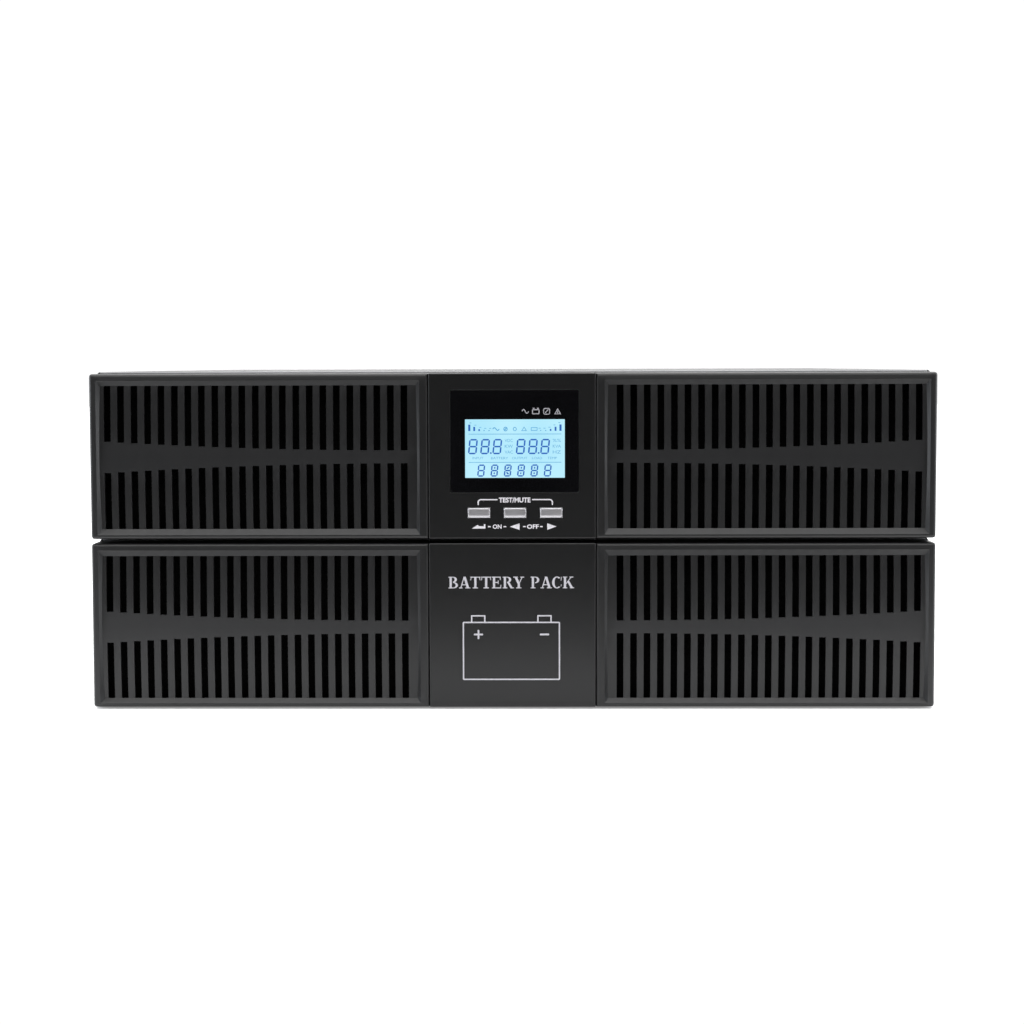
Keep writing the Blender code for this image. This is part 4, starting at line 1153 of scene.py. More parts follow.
def status_icons():
    """Unlit lamps printed at the window's upper right: mains, battery, bypass and fault."""
    layer = ink_layer(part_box("display_window")[0].y)
    z = unit_low("ups") + 0.0659
    bm = bmesh.new()
    add_ribbon(bm, wave_path(0.0052, z, 0.0034, 0.0010, 12), 0.00045, *layer)
    centre = (0.0123, z - 0.0002)
    add_rounded_frame(bm, centre, ((0.0039, 0.0026), 0.0006), ((0.0029, 0.0016), 0.0003), *layer)
    for x in (-0.0011, 0.0011):
        add_prism(bm, rectangle((centre[0] + x, z + 0.0015), (0.0009, 0.0006)), *layer)
    centre = (0.0179, z)
    add_rounded_frame(bm, centre, ((0.0036, 0.0034), 0.0010), ((0.0027, 0.0025), 0.0006), *layer)
    add_ribbon(bm, [(centre[0] - 0.0009, z - 0.0009), (centre[0] + 0.0009, z + 0.0009)], 0.0004, *layer)
    tip = 0.0236
    add_triangle_frame(bm, (tip, z - 0.0006), 0.0018, -0.0009, 0.0022, 0.58, layer)
    add_prism(bm, rectangle((tip, z - 0.0004), (0.0005, 0.0011)), *layer)
    ink_piece("status_icons", bm, DIM_INK, "display")


def battery_symbol():
    """The battery outline with its terminals and signs, under the pack's name on its centre panel."""
    low = unit_low("pack")
    x, z = -0.0006, low + 0.0295
    width, height, line = 0.0506, 0.0305, 0.0007
    front, back = ink_layer(FACE_Y)
    bm = bmesh.new()
    hollow = (width - 2 * line, height - 2 * line)
    add_rounded_frame(bm, (x, z), ((width, height), 0.0007), (hollow, 0.0003), front, back)
    top = z + height / 2
    half, rise = 0.0034, 0.0031
    for terminal in (x - 0.0172, x + 0.0172):
        path = [
            (terminal - half, top), (terminal - half, top + rise),
            (terminal + half, top + rise), (terminal + half, top),
        ]
        add_ribbon(bm, path, line, front, back)
    plus, minus = (x - 0.0171, z + 0.0086), (x + 0.0172, z + 0.0086)
    for centre in (plus, minus):
        add_prism(bm, rounded_rectangle(centre, (0.0048, 0.0009), 0.0003), front, back)
    add_prism(bm, rounded_rectangle(plus, (0.0009, 0.0048), 0.0003), front - OVERPRINT, back)
    ink_piece("battery_symbol", bm, SOFT_INK, "root")
    serif_text("word_battery_pack", "BATTERY PACK", -0.0332, low + 0.0622, 0.00605)


# Serif capitals, drawn in a cell one unit high

STEM = 0.19
HAIR = 0.075
ADVANCE = 0.93
ADVANCES = {" ": 0.54, "P": 0.87, "C": 0.96}


def footed_stem(x, low_serif, high_serif):
    """A stem with a hairline along its foot and its head."""
    return [
        ("bar", 0.0, 0.0, low_serif, HAIR),
        ("bar", 0.0, 1 - HAIR, high_serif, 1.0),
        ("bar", x, 0.0, x + STEM, 1.0),
    ]


SERIFS = {
    "B": [
        *footed_stem(0.10, 0.42, 0.42),
        ("bowl", 0.38, 0.755, 0.35, 0.245), ("bowl", 0.40, 0.272, 0.42, 0.272),
    ],
    "A": [
        ("bar", -0.02, 0.0, 0.28, HAIR), ("bar", 0.52, 0.0, 0.96, HAIR),
        ("slant", 0.12, 0.0, 0.42, 1.0, 0.08), ("slant", 0.76, 0.0, 0.45, 1.0, 0.21),
        ("bar", 0.20, 0.27, 0.66, 0.27 + HAIR),
    ],
    "T": [
        ("bar", 0.02, 1 - HAIR, 0.88, 1.0), ("bar", 0.355, 0.0, 0.355 + STEM, 1.0),
        ("bar", 0.22, 0.0, 0.68, HAIR),
        ("slant", 0.05, 0.70, 0.10, 1.0, 0.06), ("slant", 0.85, 0.70, 0.80, 1.0, 0.06),
    ],
    "E": [
        *footed_stem(0.10, 0.80, 0.76), ("bar", 0.28, 0.47, 0.55, 0.47 + HAIR),
        ("slant", 0.55, 0.35, 0.55, 0.67, 0.06), ("slant", 0.79, 0.30, 0.74, 0.0, 0.07),
        ("slant", 0.74, 0.72, 0.70, 1.0, 0.07),
    ],
    "R": [
        *footed_stem(0.10, 0.40, 0.42), ("bowl", 0.38, 0.74, 0.36, 0.26),
        ("slant", 0.78, 0.0, 0.50, 0.50, 0.20), ("bar", 0.70, 0.0, 0.96, HAIR),
    ],
    "Y": [
        ("bar", -0.02, 1 - HAIR, 0.38, 1.0), ("bar", 0.58, 1 - HAIR, 0.92, 1.0),
        ("slant", 0.44, 0.42, 0.17, 1.0, 0.21), ("slant", 0.49, 0.42, 0.76, 1.0, 0.08),
        ("bar", 0.36, 0.0, 0.36 + STEM, 0.48), ("bar", 0.23, 0.0, 0.68, HAIR),
    ],
    "P": [*footed_stem(0.10, 0.42, 0.42), ("bowl", 0.38, 0.72, 0.37, 0.28)],
    "C": [
        ("hook", 0.46, 0.50, 0.42, 0.515),
        ("slant", 0.81, 0.66, 0.83, 0.98, 0.06), ("slant", 0.80, 0.18, 0.84, 0.32, 0.05),
    ],
    "K": [
        *footed_stem(0.09, 0.38, 0.38),
        ("slant", 0.26, 0.36, 0.74, 1.0, 0.08), ("slant", 0.80, 0.0, 0.46, 0.60, 0.21),
        ("bar", 0.58, 1 - HAIR, 0.90, 1.0), ("bar", 0.60, 0.0, 0.97, HAIR),
    ],
}


def arc_band(centre, radii, thickness, start, end, steps=16):
    """Part of an elliptical ring that is thick at its sides and thin at its top and bottom."""
    outer = []
    inner = []
    for step in range(steps + 1):
        angle = math.radians(start + (end - start) * step / steps)
        cos, sin = math.cos(angle), math.sin(angle)
        outer.append((centre[0] + radii[0] * cos, centre[1] + radii[1] * sin))
        inner_radii = (radii[0] - thickness[0], radii[1] - thickness[1])
        inner.append((centre[0] + inner_radii[0] * cos, centre[1] + inner_radii[1] * sin))
    return outer + inner[::-1]


def serif_stroke(kind, *values):
    """The outline of one stroke of a letter, in its cell."""
    if kind == "bar":
        x0, z0, x1, z1 = values
        return [(x0, z0), (x1, z0), (x1, z1), (x0, z1)]
    if kind == "slant":
        x0, z0, x1, z1, width = values
        half = width / 2
        outline = [(x0 - half, z0), (x0 + half, z0), (x1 + half, z1), (x1 - half, z1)]
        return outline if z1 > z0 else outline[::-1]
    x, z, radius_x, radius_z = values
    if kind == "bowl":
        return arc_band((x, z), (radius_x, radius_z), (STEM + 0.01, HAIR), -90, 90)
    return arc_band((x, z), (radius_x, radius_z), (STEM + 0.02, HAIR), 48, 312, 26)


def serif_text(name, text, left, low, height):
    """Bold serif capitals; strokes lie a hair's breadth apart in depth where they cross."""
    front, back = ink_layer(FACE_Y)
    bm = bmesh.new()
    start = left
    for letter in text:
        for order, stroke in enumerate(SERIFS.get(letter, ())):
            outline = [(start + x * height, low + z * height) for x, z in serif_stroke(*stroke)]
            add_prism(bm, outline, front + OVERPRINT * order, back)
        start += height * ADVANCES.get(letter, ADVANCE)
    ink_piece(name, bm, SOFT_INK, "root")


# Fasteners


def screw_mesh(radius, rise, recess):
    """A pan or flat head with a cross recess, as a mesh that points along +Z from the sheet it clamps."""
    head = bmesh.new()
    skirt = -0.0006
    dome = [(radius * math.cos(a), rise * (0.35 + 0.65 * math.sin(a))) for a in quarter_angles(6)[:-1]]
    add_turned(head, [(0.0, skirt), (radius, skirt), *dome, (0.0, rise)], Matrix.Identity(4), 28)
    outward(head)
    arm = radius * 0.55
    half = radius * 0.12
    cross = [
        (half, -arm), (half, -half), (arm, -half), (arm, half), (half, half), (half, arm),
        (-half, arm), (-half, half), (-arm, half), (-arm, -half), (-half, -half), (-half, -arm),
    ]
    tool = bmesh.new()
    base = [tool.verts.new((x * 0.6, y * 0.6, rise - recess)) for x, y in cross]
    top = [tool.verts.new((x, y, rise + recess)) for x, y in cross]
    tool.faces.new(base[::-1])
    tool.faces.new(top)
    bridge(tool, [base, top])
    objects = [new_object(name, new_mesh(name, bm)) for name, bm in (("head", head), ("tool", tool))]
    cut = objects[0].modifiers.new("recess", "BOOLEAN")
    cut.operation = "DIFFERENCE"
    cut.solver = "EXACT"
    cut.object = objects[1]
    result = baked_mesh(objects[0])
    for obj in objects:
        discard(obj)
    return result


def screws(name, template, places, material):
    """Copies of one screw head as one piece, each turned a little further than the last."""
    bm = bmesh.new()
    for index, (point, direction) in enumerate(places):
        spin = Matrix.Rotation(0.9 * index + 0.3, 4, "Z")
        before = len(bm.verts)
        bm.from_mesh(template)
        bm.verts.ensure_lookup_table()
        bmesh.ops.transform(bm, matrix=facing(point, direction) @ spin, verts=bm.verts[before:])
    return soften(fitting(name, bm, material), 0.00008, 2, 35)


# Chassis details


def cover_lip(unit):
    """The rolled front edge of a top cover, which laps over the bezels; its light grey finish is a painted
    highlight.
    """
    low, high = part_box(f"{unit}_top_cover")
    radius = 0.0009
    inset = 0.0018
    root = low.y + 0.0006
    section = [(root, high.z - radius), (root, high.z)]
    for angle in quarter_angles(6):
        section.append((low.y - radius * math.sin(angle), high.z - radius + radius * math.cos(angle)))
    bm = bmesh.new()
    steps = 12
    loops = []
    for step in range(steps + 1):
        x = low.x + inset + (high.x - low.x - 2 * inset) * step / steps
        loops.append([bm.verts.new((x, y, z)) for y, z in section])
    bm.faces.new(loops[0])
    bm.faces.new(loops[-1][::-1])
    bridge(bm, loops)
    outward(bm)
    return soften(piece(f"{unit}_cover_lip", bm, LIP_PAINTED_HIGHLIGHT, "root"), 0.0001)


def side_places(unit, ys, height):
    """Points on both sides of a chassis, with the directions they face."""
    low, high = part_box(f"{unit}_top_cover")
    places = []
    for y in ys:
        places.append(((low.x, y, low.z + height), (-1, 0, 0)))
        places.append(((high.x, y, low.z + height), (1, 0, 0)))
    return places


def ear_bushings(unit):
    """Threaded bushings for rack ears near the front of both sides."""
    bm = bmesh.new()
    profile = [
        (0.0034, -0.0002), (0.0034, 0.00018), (0.0029, 0.00026), (0.0018, 0.00026),
        (0.0016, 0.0001), (0.0016, -0.0011), (0.0, -0.0011),
    ]
    for height in (0.017, 0.035, 0.053, 0.071):
        for point, direction in side_places(unit, (-0.222,), height):
            add_turned(bm, profile, facing(point, direction), 24)
    return soften(fitting(f"{unit}_ear_bushings", bm, DARK_SCREW), 0.00006)


def rear_places(xs, zs, y=REAR_FACE):
    """Points on a plane that faces the rear, at every crossing of some columns and rows."""
    return [((x, y, z), BACK) for x in xs for z in zs]


def panel_screws(pan):
    """Screws at the corners of the rear panels, and along the pack's edges."""
    rows = (0.0105, 0.0775)
    columns = (-0.2108, 0.2112)
    upper = rear_places(columns, [UNIT_PITCH + z for z in rows])
    upper += rear_places((0.0803,), (UNIT_PITCH + 0.0815,))
    screws("ups_rear_screws", pan, upper, DARK_SCREW)
    lower = rear_places(columns, rows)
    for z in reversed(rows):
        lower += rear_places((-0.0450, 0.0380), (z,))
    screws("pack_rear_screws", pan, lower, DARK_SCREW)


def fan_screws(side_name, pan):
    """A screw through each eye of a fan's guard."""
    low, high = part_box(f"{side_name}_fan_guard")
    xs = (low.x + EYE_INSET, high.x - EYE_INSET)
    zs = (low.z + EYE_INSET, high.z - EYE_INSET)
    screws(f"{side_name}_fan_screws", pan, rear_places(xs, zs, low.y + 0.0011), ZINC)


def socket_screws():
    """Two small screws at the ends of every socket's flange, and two under the inlet."""
    places = []
    for node in (*OUTLET_STRIPS, *CONNECTORS[1:], CONNECTORS[0], "comms_ports"):
        low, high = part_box(node)
        inset = 0.0020 if node in OUTLET_STRIPS else 0.0025
        places += rear_places((low.x + inset, high.x - inset), (middle_of(node)[1],), SOCKET_FACE)
    low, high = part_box("ac_inlet")
    places += rear_places((low.x + 0.0022, high.x - 0.0022), (low.z + 0.0022,), SOCKET_FACE)
    screws("socket_screws", screw_mesh(0.0019, 0.0010, 0.0007), places, ZINC)


def chassis_screws():
    flat = screw_mesh(0.0030, 0.00025, 0.0009)
    pan = screw_mesh(0.0029, 0.0016, 0.0011)
    for unit in UNITS:
        ys = (-0.150, -0.050, 0.050, 0.120, 0.225)
        screws(f"{unit}_side_screws", flat, side_places(unit, ys, 0.0075), DARK_SCREW)
    panel_screws(pan)
    for side_name in FANS:
        fan_screws(side_name, pan)
    socket_screws()


def thumb_screws():
    """Two knurled captive screws that hold the card slot's cover."""
    low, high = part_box("comms_slot_cover")
    bm = bmesh.new()
    steps = 48
    for x in (low.x + 0.0042, high.x - 0.0042):
        place = facing((x, high.y, middle_of("comms_slot_cover")[1]), BACK)
        add_turned(bm, [(0.0022, -0.0002), (0.0022, 0.0010), (0.0034, 0.0010)], place, steps)
        loops = []
        for height, radius in ((0.0010, 0.0036), (0.0056, 0.0036), (0.0061, 0.0031)):
            radii = [radius, radius - 0.00018] * (steps // 2)
            loops.append([
                bm.verts.new(place @ Vector((r * math.cos(a), r * math.sin(a), height)))
                for r, a in zip(radii, turn_angles(steps))
            ])
        bridge(bm, loops)
        bm.faces.new(loops[-1])
        bm.faces.new(loops[0][::-1])
    return fitting("slot_cover_thumb_screws", bm, NICKEL)


def earth_stud():
    """A threaded stud with its washer and nut on the battery pack's rear panel."""
    place = facing((0.1680, REAR_FACE, 0.0440), BACK)
    bm = bmesh.new()
    add_turned(bm, [(0.0056, 0.0), (0.0056, 0.0006), (0.0053, 0.0008), (0.0, 0.0008)], place, 32)
    add_turned(bm, [(0.0046, 0.0008), (0.0046, 0.0034), (0.0040, 0.0040), (0.0023, 0.0040)], place, 6)
    thread = [(0.0023 if step % 2 else 0.00195, 0.0030 + 0.00035 * step) for step in range(15)]
    add_turned(bm, [*thread, (0.0016, 0.0084), (0.0, 0.0084)], place, 20)
    return soften(fitting("pack_earth_stud", bm, NICKEL), 0.00006)


# Fans


def fan_hub(side_name):
    """A hub with a rounded rim and a shallow round recess for its label."""
    node = f"{side_name}_fan_rotor"
    low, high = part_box(node)
    x, z = middle_of(f"{side_name}_fan_frame")
    depth = high.y - low.y
    rounding = 0.0020
    rim = [
        (HUB_RADIUS - rounding + rounding * math.cos(a), depth - rounding + rounding * math.sin(a))
        for a in quarter_angles(5)
    ]
    face = [(0.0130, depth), (0.0127, depth - 0.0005), (0.0058, depth - 0.0005), (0.0055, depth - 0.0002)]
    bm = bmesh.new()
    profile = [(0.0, 0.0), (HUB_RADIUS, 0.0), *rim, *face, (0.0, depth - 0.0002)]
    add_turned(bm, profile, facing((x, low.y, z), BACK), 48)
    return soften(piece(f"{node}_hub", bm, FAN_PLASTIC, f"{side_name}_rotor", (node,)), 0.0001)


def fan_blades(side_name):
    """Seven swept and twisted blades."""
    node = f"{side_name}_fan_rotor"
    low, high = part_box(node)
    x, z = middle_of(f"{side_name}_fan_frame")
    across, outward_steps = 10, 8
    root = HUB_RADIUS - 0.0012
    bm = bmesh.new()
    for start in turn_angles(7):
        grid = []
        for i in range(outward_steps + 1):
            out = i / outward_steps
            radius = root + (BLADE_TIP - root) * out
            row = []
            for j in range(across + 1):
                along = j / across - 0.5
                angle = start + along * 0.62 + 0.35 * out
                lift = along * (0.0145 - 0.003 * out) + 0.0012 * (0.25 - along * along)
                y = (low.y + high.y) / 2 + lift
                row.append(bm.verts.new((x + radius * math.cos(angle), y, z + radius * math.sin(angle))))
            grid.append(row)
        add_grid(bm, grid)
    blades = piece(f"{node}_blades", bm, FAN_PLASTIC, f"{side_name}_rotor")
    thicken(blades, "thickness", 0.0012)
    return soften(blades, 0.0003, 2, 40)


def fan_guard(side_name):
    """A welded wire guard: rings on four arms whose ends are bent into screw eyes."""
    node = f"{side_name}_fan_guard"
    low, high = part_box(node)
    x, z = middle_of(f"{side_name}_fan_frame")
    wire = 0.0008
    ring_y = high.y - wire
    arm_y = ring_y - 1.7 * wire
    bend = 0.0400
    eye_reach = ((high.x - low.x) / 2 - EYE_INSET) * math.sqrt(2)
    bm = bmesh.new()
    for radius in (0.0100, 0.0170, 0.0240, 0.0310, 0.0380):
        add_ring(bm, facing((x, ring_y, z), BACK), radius, wire)

    def arm_point(angle, radius, y):
        return Vector((x + radius * math.cos(angle), y, z + radius * math.sin(angle)))

    for quarter in turn_angles(4):
        angle = quarter + math.pi / 4
        bent = arm_point(angle, bend, arm_y)
        add_rod(bm, arm_point(angle, 0.0092, arm_y), bent, wire)
        add_rod(bm, bent, arm_point(angle, eye_reach - 0.0038, low.y + wire), wire)
        add_ring(bm, facing(arm_point(angle, eye_reach, low.y + wire), BACK), 0.0030, wire, 28)
    return piece(f"{node}_wires", bm, FINISHES["guard_wire"], "root", (node,))


# Sockets


def leaf(bm, centre, size):
    half = Vector(size) / 2
    add_box(bm, Vector(centre) - half, Vector(centre) + half)


def outlet_contacts():
    """Sprung brass leaves inside the outlets' contact slots."""
    pitch = 0.0270
    per_strip = 4
    bm = bmesh.new()
    for node in OUTLET_STRIPS:
        middle_x, middle_z = middle_of(node)
        for index in range(per_strip):
            x = middle_x + (index - (per_strip - 1) / 2) * pitch
            for slot_x, slot_z in ((-0.006, -0.0012), (0.006, -0.0012), (0.0, 0.0018)):
                for side in (-1, 1):
                    centre = (x + slot_x + side * 0.00085, SOCKET_FACE - 0.0068, middle_z + slot_z)
                    leaf(bm, centre, (0.0005, 0.0100, 0.0040))
    return soften(piece("outlet_contacts", bm, BRASS, "root"), 0.00015)


def inlet_pins():
    """Plated blades of the mains inlet, with rounded tips."""
    x, z = middle_of("ac_inlet")
    floor = SOCKET_FACE - 0.0160
    bm = bmesh.new()
    for pin_x, pin_z in ((-0.007, -0.002), (0.007, -0.002), (0.0, 0.004)):
        leaf(bm, (x + pin_x, floor + 0.00665, z + pin_z), (0.0023, 0.0131, 0.0043))
    return soften(fitting("inlet_pins", bm, NICKEL), 0.0005, 3)


def connector_mouth(node):
    """The deep front of a two-pole battery connector, with two cavities."""
    x, z = middle_of(node)
    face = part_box(node)[1].y
    cavity_half_x, cavity_half_z = 0.00725, 0.0070
    xs = [-CONNECTOR_HALF_X, -CAVITY_X - cavity_half_x, -CAVITY_X + cavity_half_x]
    xs += [-reach for reach in reversed(xs)]
    zs = [-CONNECTOR_HALF_Z, -cavity_half_z, cavity_half_z, CONNECTOR_HALF_Z]
    bm = bmesh.new()
    grid = [[bm.verts.new((x + dx, face, z + dz)) for dz in zs] for dx in reversed(xs)]
    add_grid(bm, grid, lambda i, j: i in (1, 3) and j == 1)
    shell = piece(f"{node}_mouth", bm, CONNECTOR_PLASTIC, "root", (node,))
    thicken(shell, "depth", CONNECTOR_DEPTH + 0.0005, -1)
    return soften(shell, 0.00035)


def connector_flange(node):
    """The flange of a battery connector, and its body behind the panel."""
    low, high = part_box(node)
    x, z = middle_of(node)
    bm = bmesh.new()
    plate = ((high.x - low.x, high.z - low.z), 0.0020)
    opening = ((2 * CONNECTOR_HALF_X - 0.0004, 2 * CONNECTOR_HALF_Z - 0.0004), 0.0004)
    add_rounded_frame(bm, (x, z), plate, opening, REAR_FACE + 0.0024, REAR_FACE + 0.0002)
    half_x, half_z = CONNECTOR_HALF_X - 0.0003, CONNECTOR_HALF_Z - 0.0003
    add_box(bm, (x - half_x, low.y, z - half_z), (x + half_x, high.y - CONNECTOR_DEPTH, z + half_z))
    outward(bm)
    return soften(piece(f"{node}_flange", bm, CONNECTOR_PLASTIC, "root"), 0.00035)


def connector_blades():
    """Silvered contacts in the cavities of the three battery connectors."""
    bm = bmesh.new()
    for node in CONNECTORS:
        x, z = middle_of(node)
        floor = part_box(node)[1].y - CONNECTOR_DEPTH
        for cavity in (x - CAVITY_X, x + CAVITY_X):
            leaf(bm, (cavity, floor + 0.0067, z - 0.0042), (0.0104, 0.0154, 0.0020))
    return soften(fitting("connector_blades", bm, NICKEL), 0.0006, 3)


def port_shells(serial, usb, z):
    """Metal shells of the serial and USB ports."""
    bm = bmesh.new()
    outer = cut_corner_outline((serial, z), (0.0178, 0.0094), 0.0022)
    inner = cut_corner_outline((serial, z), (0.0162, 0.0078), 0.0018)
    add_frame(bm, outer, inner, SOCKET_FACE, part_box("comms_ports")[1].y + 0.0003)
    plate, opening = ((0.0310, 0.0125), 0.0010), ((0.0178, 0.0094), 0.0010)
    add_rounded_frame(bm, (serial, z), plate, opening, SOCKET_FACE, SOCKET_FACE + 0.0006)
    rim, mouth = ((0.0098, 0.0092), 0.0006), ((0.0080, 0.0074), 0.0004)
    add_rounded_frame(bm, (usb, z), rim, mouth, SOCKET_FACE - 0.0060, SOCKET_FACE + 0.0006)
    outward(bm)
    return soften(fitting("port_shells", bm, NICKEL), 0.00012)


def serial_posts(serial, z):
    """Hexagonal posts that the serial plug screws into."""
    outside = [(0.0027, 0.0), (0.0027, 0.0040), (0.0023, 0.0045)]
    profile = [*outside, (0.0013, 0.0045), (0.0013, 0.0012), (0.0, 0.0012)]
    bm = bmesh.new()
    for x in (serial - 0.0125, serial + 0.0125):
        add_turned(bm, profile, facing((x, SOCKET_FACE + 0.0006, z), BACK), 6)
    return soften(fitting("serial_hex_posts", bm, NICKEL), 0.0001)


def port_contacts(serial, jack, z):
    """The serial port's nine sockets and the network jack's eight sprung wires."""
    bm = bmesh.new()
    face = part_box("comms_ports")[1].y - 0.0001
    profile = [(0.0007, 0.0), (0.0007, 0.00025), (0.0004, 0.00025), (0.0004, -0.0006), (0.0, -0.0006)]
    for count, height in ((5, 0.0014), (4, -0.0014)):
        for index in range(count):
            x = serial + (index - (count - 1) / 2) * 0.00277
            add_turned(bm, profile, facing((x, face, z + height), BACK), 16)
    for index in range(8):
        x = jack + (index - 3.5) * 0.00102
        start = (x, SOCKET_FACE - 0.0010, z + 0.0038)
        add_rod(bm, start, (x, SOCKET_FACE - 0.0095, z + 0.0012), 0.00018, 8)
    outward(bm)
    return piece("port_contacts", bm, BRASS, "root")


def jack_surround(jack, z):
    bm = bmesh.new()
    rim, mouth = ((0.0150, 0.0116), 0.0006), ((0.0118, 0.0084), 0.0003)
    add_rounded_frame(bm, (jack, z), rim, mouth, SOCKET_FACE - 0.0002, SOCKET_FACE + 0.0007)
    outward(bm)
    surround = piece("network_jack_surround", bm, FINISHES["socket_plastic"], "root")
    return soften(surround, 0.0002)


def ports():
    """The serial, USB and network ports, in a row."""
    x, z = middle_of("comms_ports")
    serial, usb, jack = x + 0.020, x - 0.006, x - 0.026
    port_shells(serial, usb, z)
    serial_posts(serial, z)
    port_contacts(serial, jack, z)
    jack_surround(jack, z)


def breaker_nut():
    """The threaded neck and hexagonal nut of the input breaker."""
    x, z = middle_of("input_breaker")
    place = facing((x, REAR_FACE, z), BACK)
    bm = bmesh.new()
    nut = [(0.0091, 0.0003), (0.0091, 0.0028), (0.0084, 0.0035), (0.0062, 0.0035), (0.0062, 0.0030)]
    add_turned(bm, nut, place, 6)
    thread = [(0.0060 if step % 2 else 0.0056, 0.0030 + 0.00035 * step) for step in range(7)]
    add_turned(bm, [*thread, (0.0054, 0.0054), (0.0037, 0.0054), (0.0037, 0.0020)], place, 40)
    return soften(fitting("input_breaker_nut", bm, NICKEL), 0.0001)


# Printing on the rear


def rear_word(name, text, centre, height, width, material=WHITE_INK, face=REAR_FACE):
    """Generic lettering that reads from behind."""
    lettering(name, text, centre, height, width, face, material, "root", behind=True)


def rear_words():
    x = middle_of("upper_outlet_strip")[0]
    rear_word("rear_word_output", "OUTPUT", (x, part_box("upper_outlet_strip")[0].z - 0.0050), 0.0030, 0.0170)
    place = (0.1010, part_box("ups_battery_connector")[0].z - 0.0033)
    rear_word("rear_word_ups_battery", "BATTERY", place, 0.0026, 0.0160)
    for node, word in (("pack_link_connector", "LINK"), ("pack_output_connector", "OUTPUT")):
        place = (middle_of(node)[0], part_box(node)[1].z + 0.0060)
        rear_word(f"rear_word_{node}", word, place, 0.0030, 0.0028 * len(word))
    x, z = middle_of("dc_breaker")
    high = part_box("dc_breaker")[1]
    rear_word("rear_word_breaker", "BATTERY BREAKER", (x, high.z + 0.0060), 0.0030, 0.0400)
    for word, word_x in (("ON", x - 0.0172), ("OFF", x + 0.0172)):
        width = 0.0022 * len(word)
        rear_word(f"rear_word_{word.lower()}", word, (word_x, z), 0.0026, width, DARK_INK, high.y)


# Stage, lights and camera


def stage():
    """A pale floor that glows more with distance, so that it meets the backdrop without an edge."""
    bm = bmesh.new()
    half = 4.0
    front = -0.47
    corners = [(-half, front), (half, front), (half, 2 * half), (-half, 2 * half)]
    bm.faces.new([bm.verts.new((x, y, FLOOR_Z)) for x, y in corners])
    floor = new_object("floor", new_mesh("floor", bm))
    white = (0.86, 0.86, 0.86)
    material, tree, shader = make_finish("floor_look", white, 0.8)
    tinted(tree, shader, white, 0.02, 6)
    shader.inputs["Specular IOR Level"].default_value = 0.0
    shader.inputs["Emission Color"].default_value = (1, 1, 1, 1)
    place = tree.nodes.new("ShaderNodeTexCoord")
    away = tree.nodes.new("ShaderNodeVectorMath")
    away.operation = "LENGTH"
    tree.links.new(place.outputs["Object"], away.inputs[0])
    glow = remap(tree, away.outputs["Value"], 0.27, 1.0, (0.5, 1.8))
    tree.links.new(glow, shader.inputs["Emission Strength"])
    floor.data.materials.append(material)


def softbox(name, location, target, size, power, colour=(1, 1, 1)):
    light = bpy.data.lights.new(name, "AREA")
    light.shape = "RECTANGLE"
    light.size, light.size_y = size
    light.energy = power
    light.color = colour
    obj = new_object(name, light)
    obj.location = location
    direction = Vector(target) - Vector(location)
    obj.rotation_euler = direction.to_track_quat("-Z", "Y").to_euler()


def lights():
    softbox("overhead_softbox", (0, 0.15, 1.5), (0, 0.05, 0), (2.2, 1.6), 36)
    softbox("left_softbox", (-1.7, -0.35, 0.6), (0, -0.1, 0.1), (0.9, 1.2), 17, (0.86, 0.92, 1.0))
    softbox("right_softbox", (1.7, -0.35, 0.6), (0, -0.1, 0.1), (0.9, 1.2), 15, (0.93, 0.96, 1.0))
    softbox("front_softbox", (0, -1.5, 1.3), (0, -0.26, 0.1), (1.6, 0.5), 9)
    softbox("rear_softbox", (0.2, 1.8, 0.8), (0, 0.2, 0.1), (1.6, 0.9), 11)


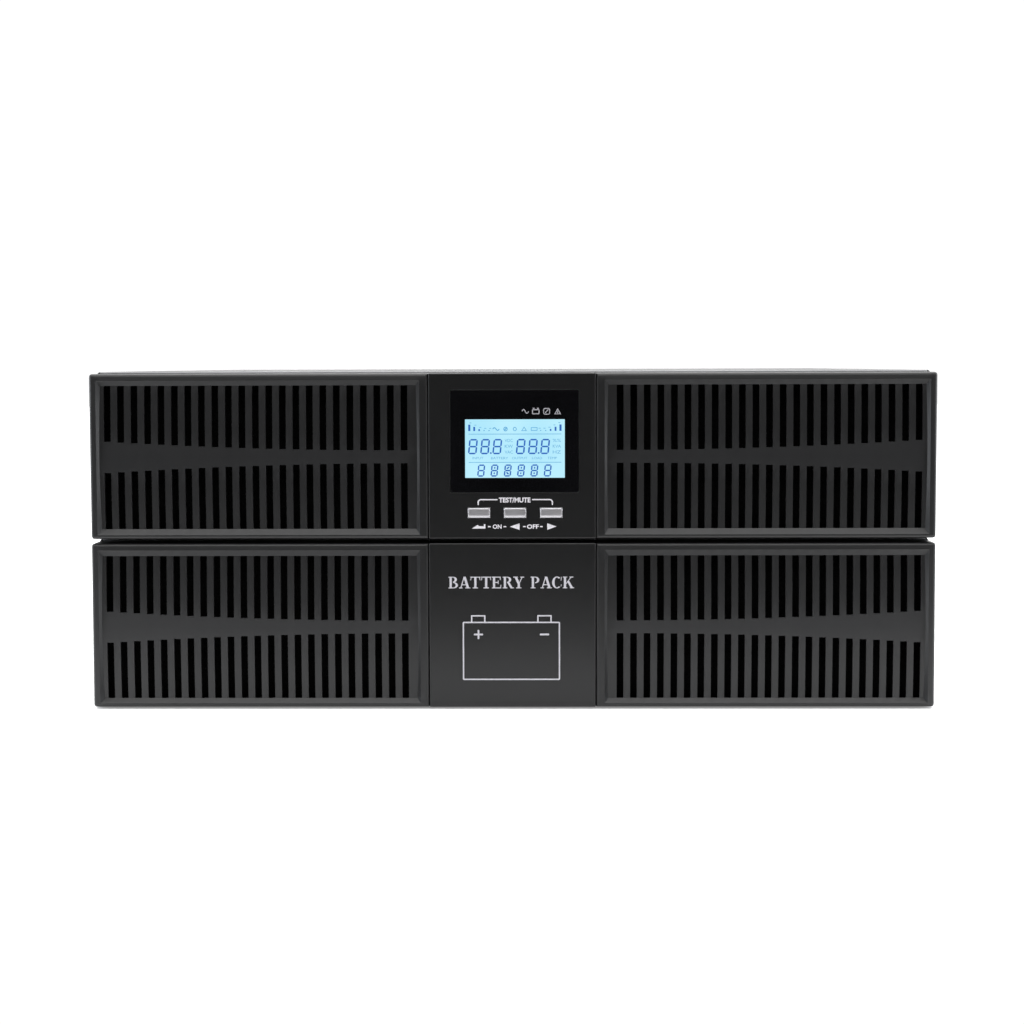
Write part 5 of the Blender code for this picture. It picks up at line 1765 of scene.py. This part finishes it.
def surroundings():
    """A white backdrop to the camera, and a dim room, brighter overhead, to everything else."""
    world = bpy.data.worlds.new("studio")
    bpy.context.scene.world = world
    world.use_nodes = True
    tree = world.node_tree
    tree.nodes.clear()
    place = tree.nodes.new("ShaderNodeTexCoord")
    split = tree.nodes.new("ShaderNodeSeparateXYZ")
    tree.links.new(place.outputs["Generated"], split.inputs["Vector"])
    above = remap(tree, split.outputs["Z"], 0.0, 0.42, (0.06, 0.8))
    around = remap(tree, split.outputs["Y"], 0.04, 0.52, (-0.985, -0.78))
    level = tree.nodes.new("ShaderNodeMath")
    level.operation = "ADD"
    tree.links.new(above, level.inputs[0])
    tree.links.new(around, level.inputs[1])
    room = tree.nodes.new("ShaderNodeBackground")
    tree.links.new(level.outputs["Value"], room.inputs["Strength"])
    backdrop = tree.nodes.new("ShaderNodeBackground")
    backdrop.inputs["Color"].default_value = (1, 1, 1, 1)
    backdrop.inputs["Strength"].default_value = 1.05
    path = tree.nodes.new("ShaderNodeLightPath")
    choose = tree.nodes.new("ShaderNodeMixShader")
    output = tree.nodes.new("ShaderNodeOutputWorld")
    tree.links.new(path.outputs["Is Camera Ray"], choose.inputs["Fac"])
    tree.links.new(room.outputs["Background"], choose.inputs[1])
    tree.links.new(backdrop.outputs["Background"], choose.inputs[2])
    tree.links.new(choose.outputs["Shader"], output.inputs["Surface"])


def camera():
    """At the photograph's angle: square on, a little above the units' top, about 1.1 m from the face."""
    data = bpy.data.cameras.new("camera")
    data.sensor_width = 36
    data.lens = 74.30
    obj = new_object("camera", data)
    obj.location = (0.0172, -1.3504, 0.1788)
    obj.rotation_euler = (math.radians(86.02), math.radians(0.164), math.radians(0.897))
    bpy.context.scene.camera = obj
    bpy.context.scene.view_settings.view_transform = "Standard"


for node in NODES.values():
    dress(node)
for unit in UNITS:
    grille(unit, "left", -1)
    grille(unit, "right", 1)
    # Near-black sheets behind the grilles: painted shade inside the slots.
    slot_shade_sheet(unit, "left")
    slot_shade_sheet(unit, "right")
display_holes = [hole_around(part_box("display_window"), 0.0002)]
display_holes += [hole_around(cap_box(node), 0.0003) for node in BUTTONS]
centre_panel("display_housing", "display", display_holes)
centre_panel("pack_centre_panel", "root", [])
display_rails()
window()
lcd_panel()
lcd_graphics()
for node, body in BUTTONS.items():
    button(node, body)
bracket_lines()
key_symbols()
status_icons()
battery_symbol()
for unit in UNITS:
    cover_lip(unit)
    ear_bushings(unit)
for side_name in FANS:
    fan_hub(side_name)
    fan_blades(side_name)
    fan_guard(side_name)
outlet_contacts()
inlet_pins()
for node in CONNECTORS:
    connector_mouth(node)
    connector_flange(node)
connector_blades()
ports()
breaker_nut()
thumb_screws()
earth_stud()
chassis_screws()
rear_words()
stage()
lights()
surroundings()
camera()
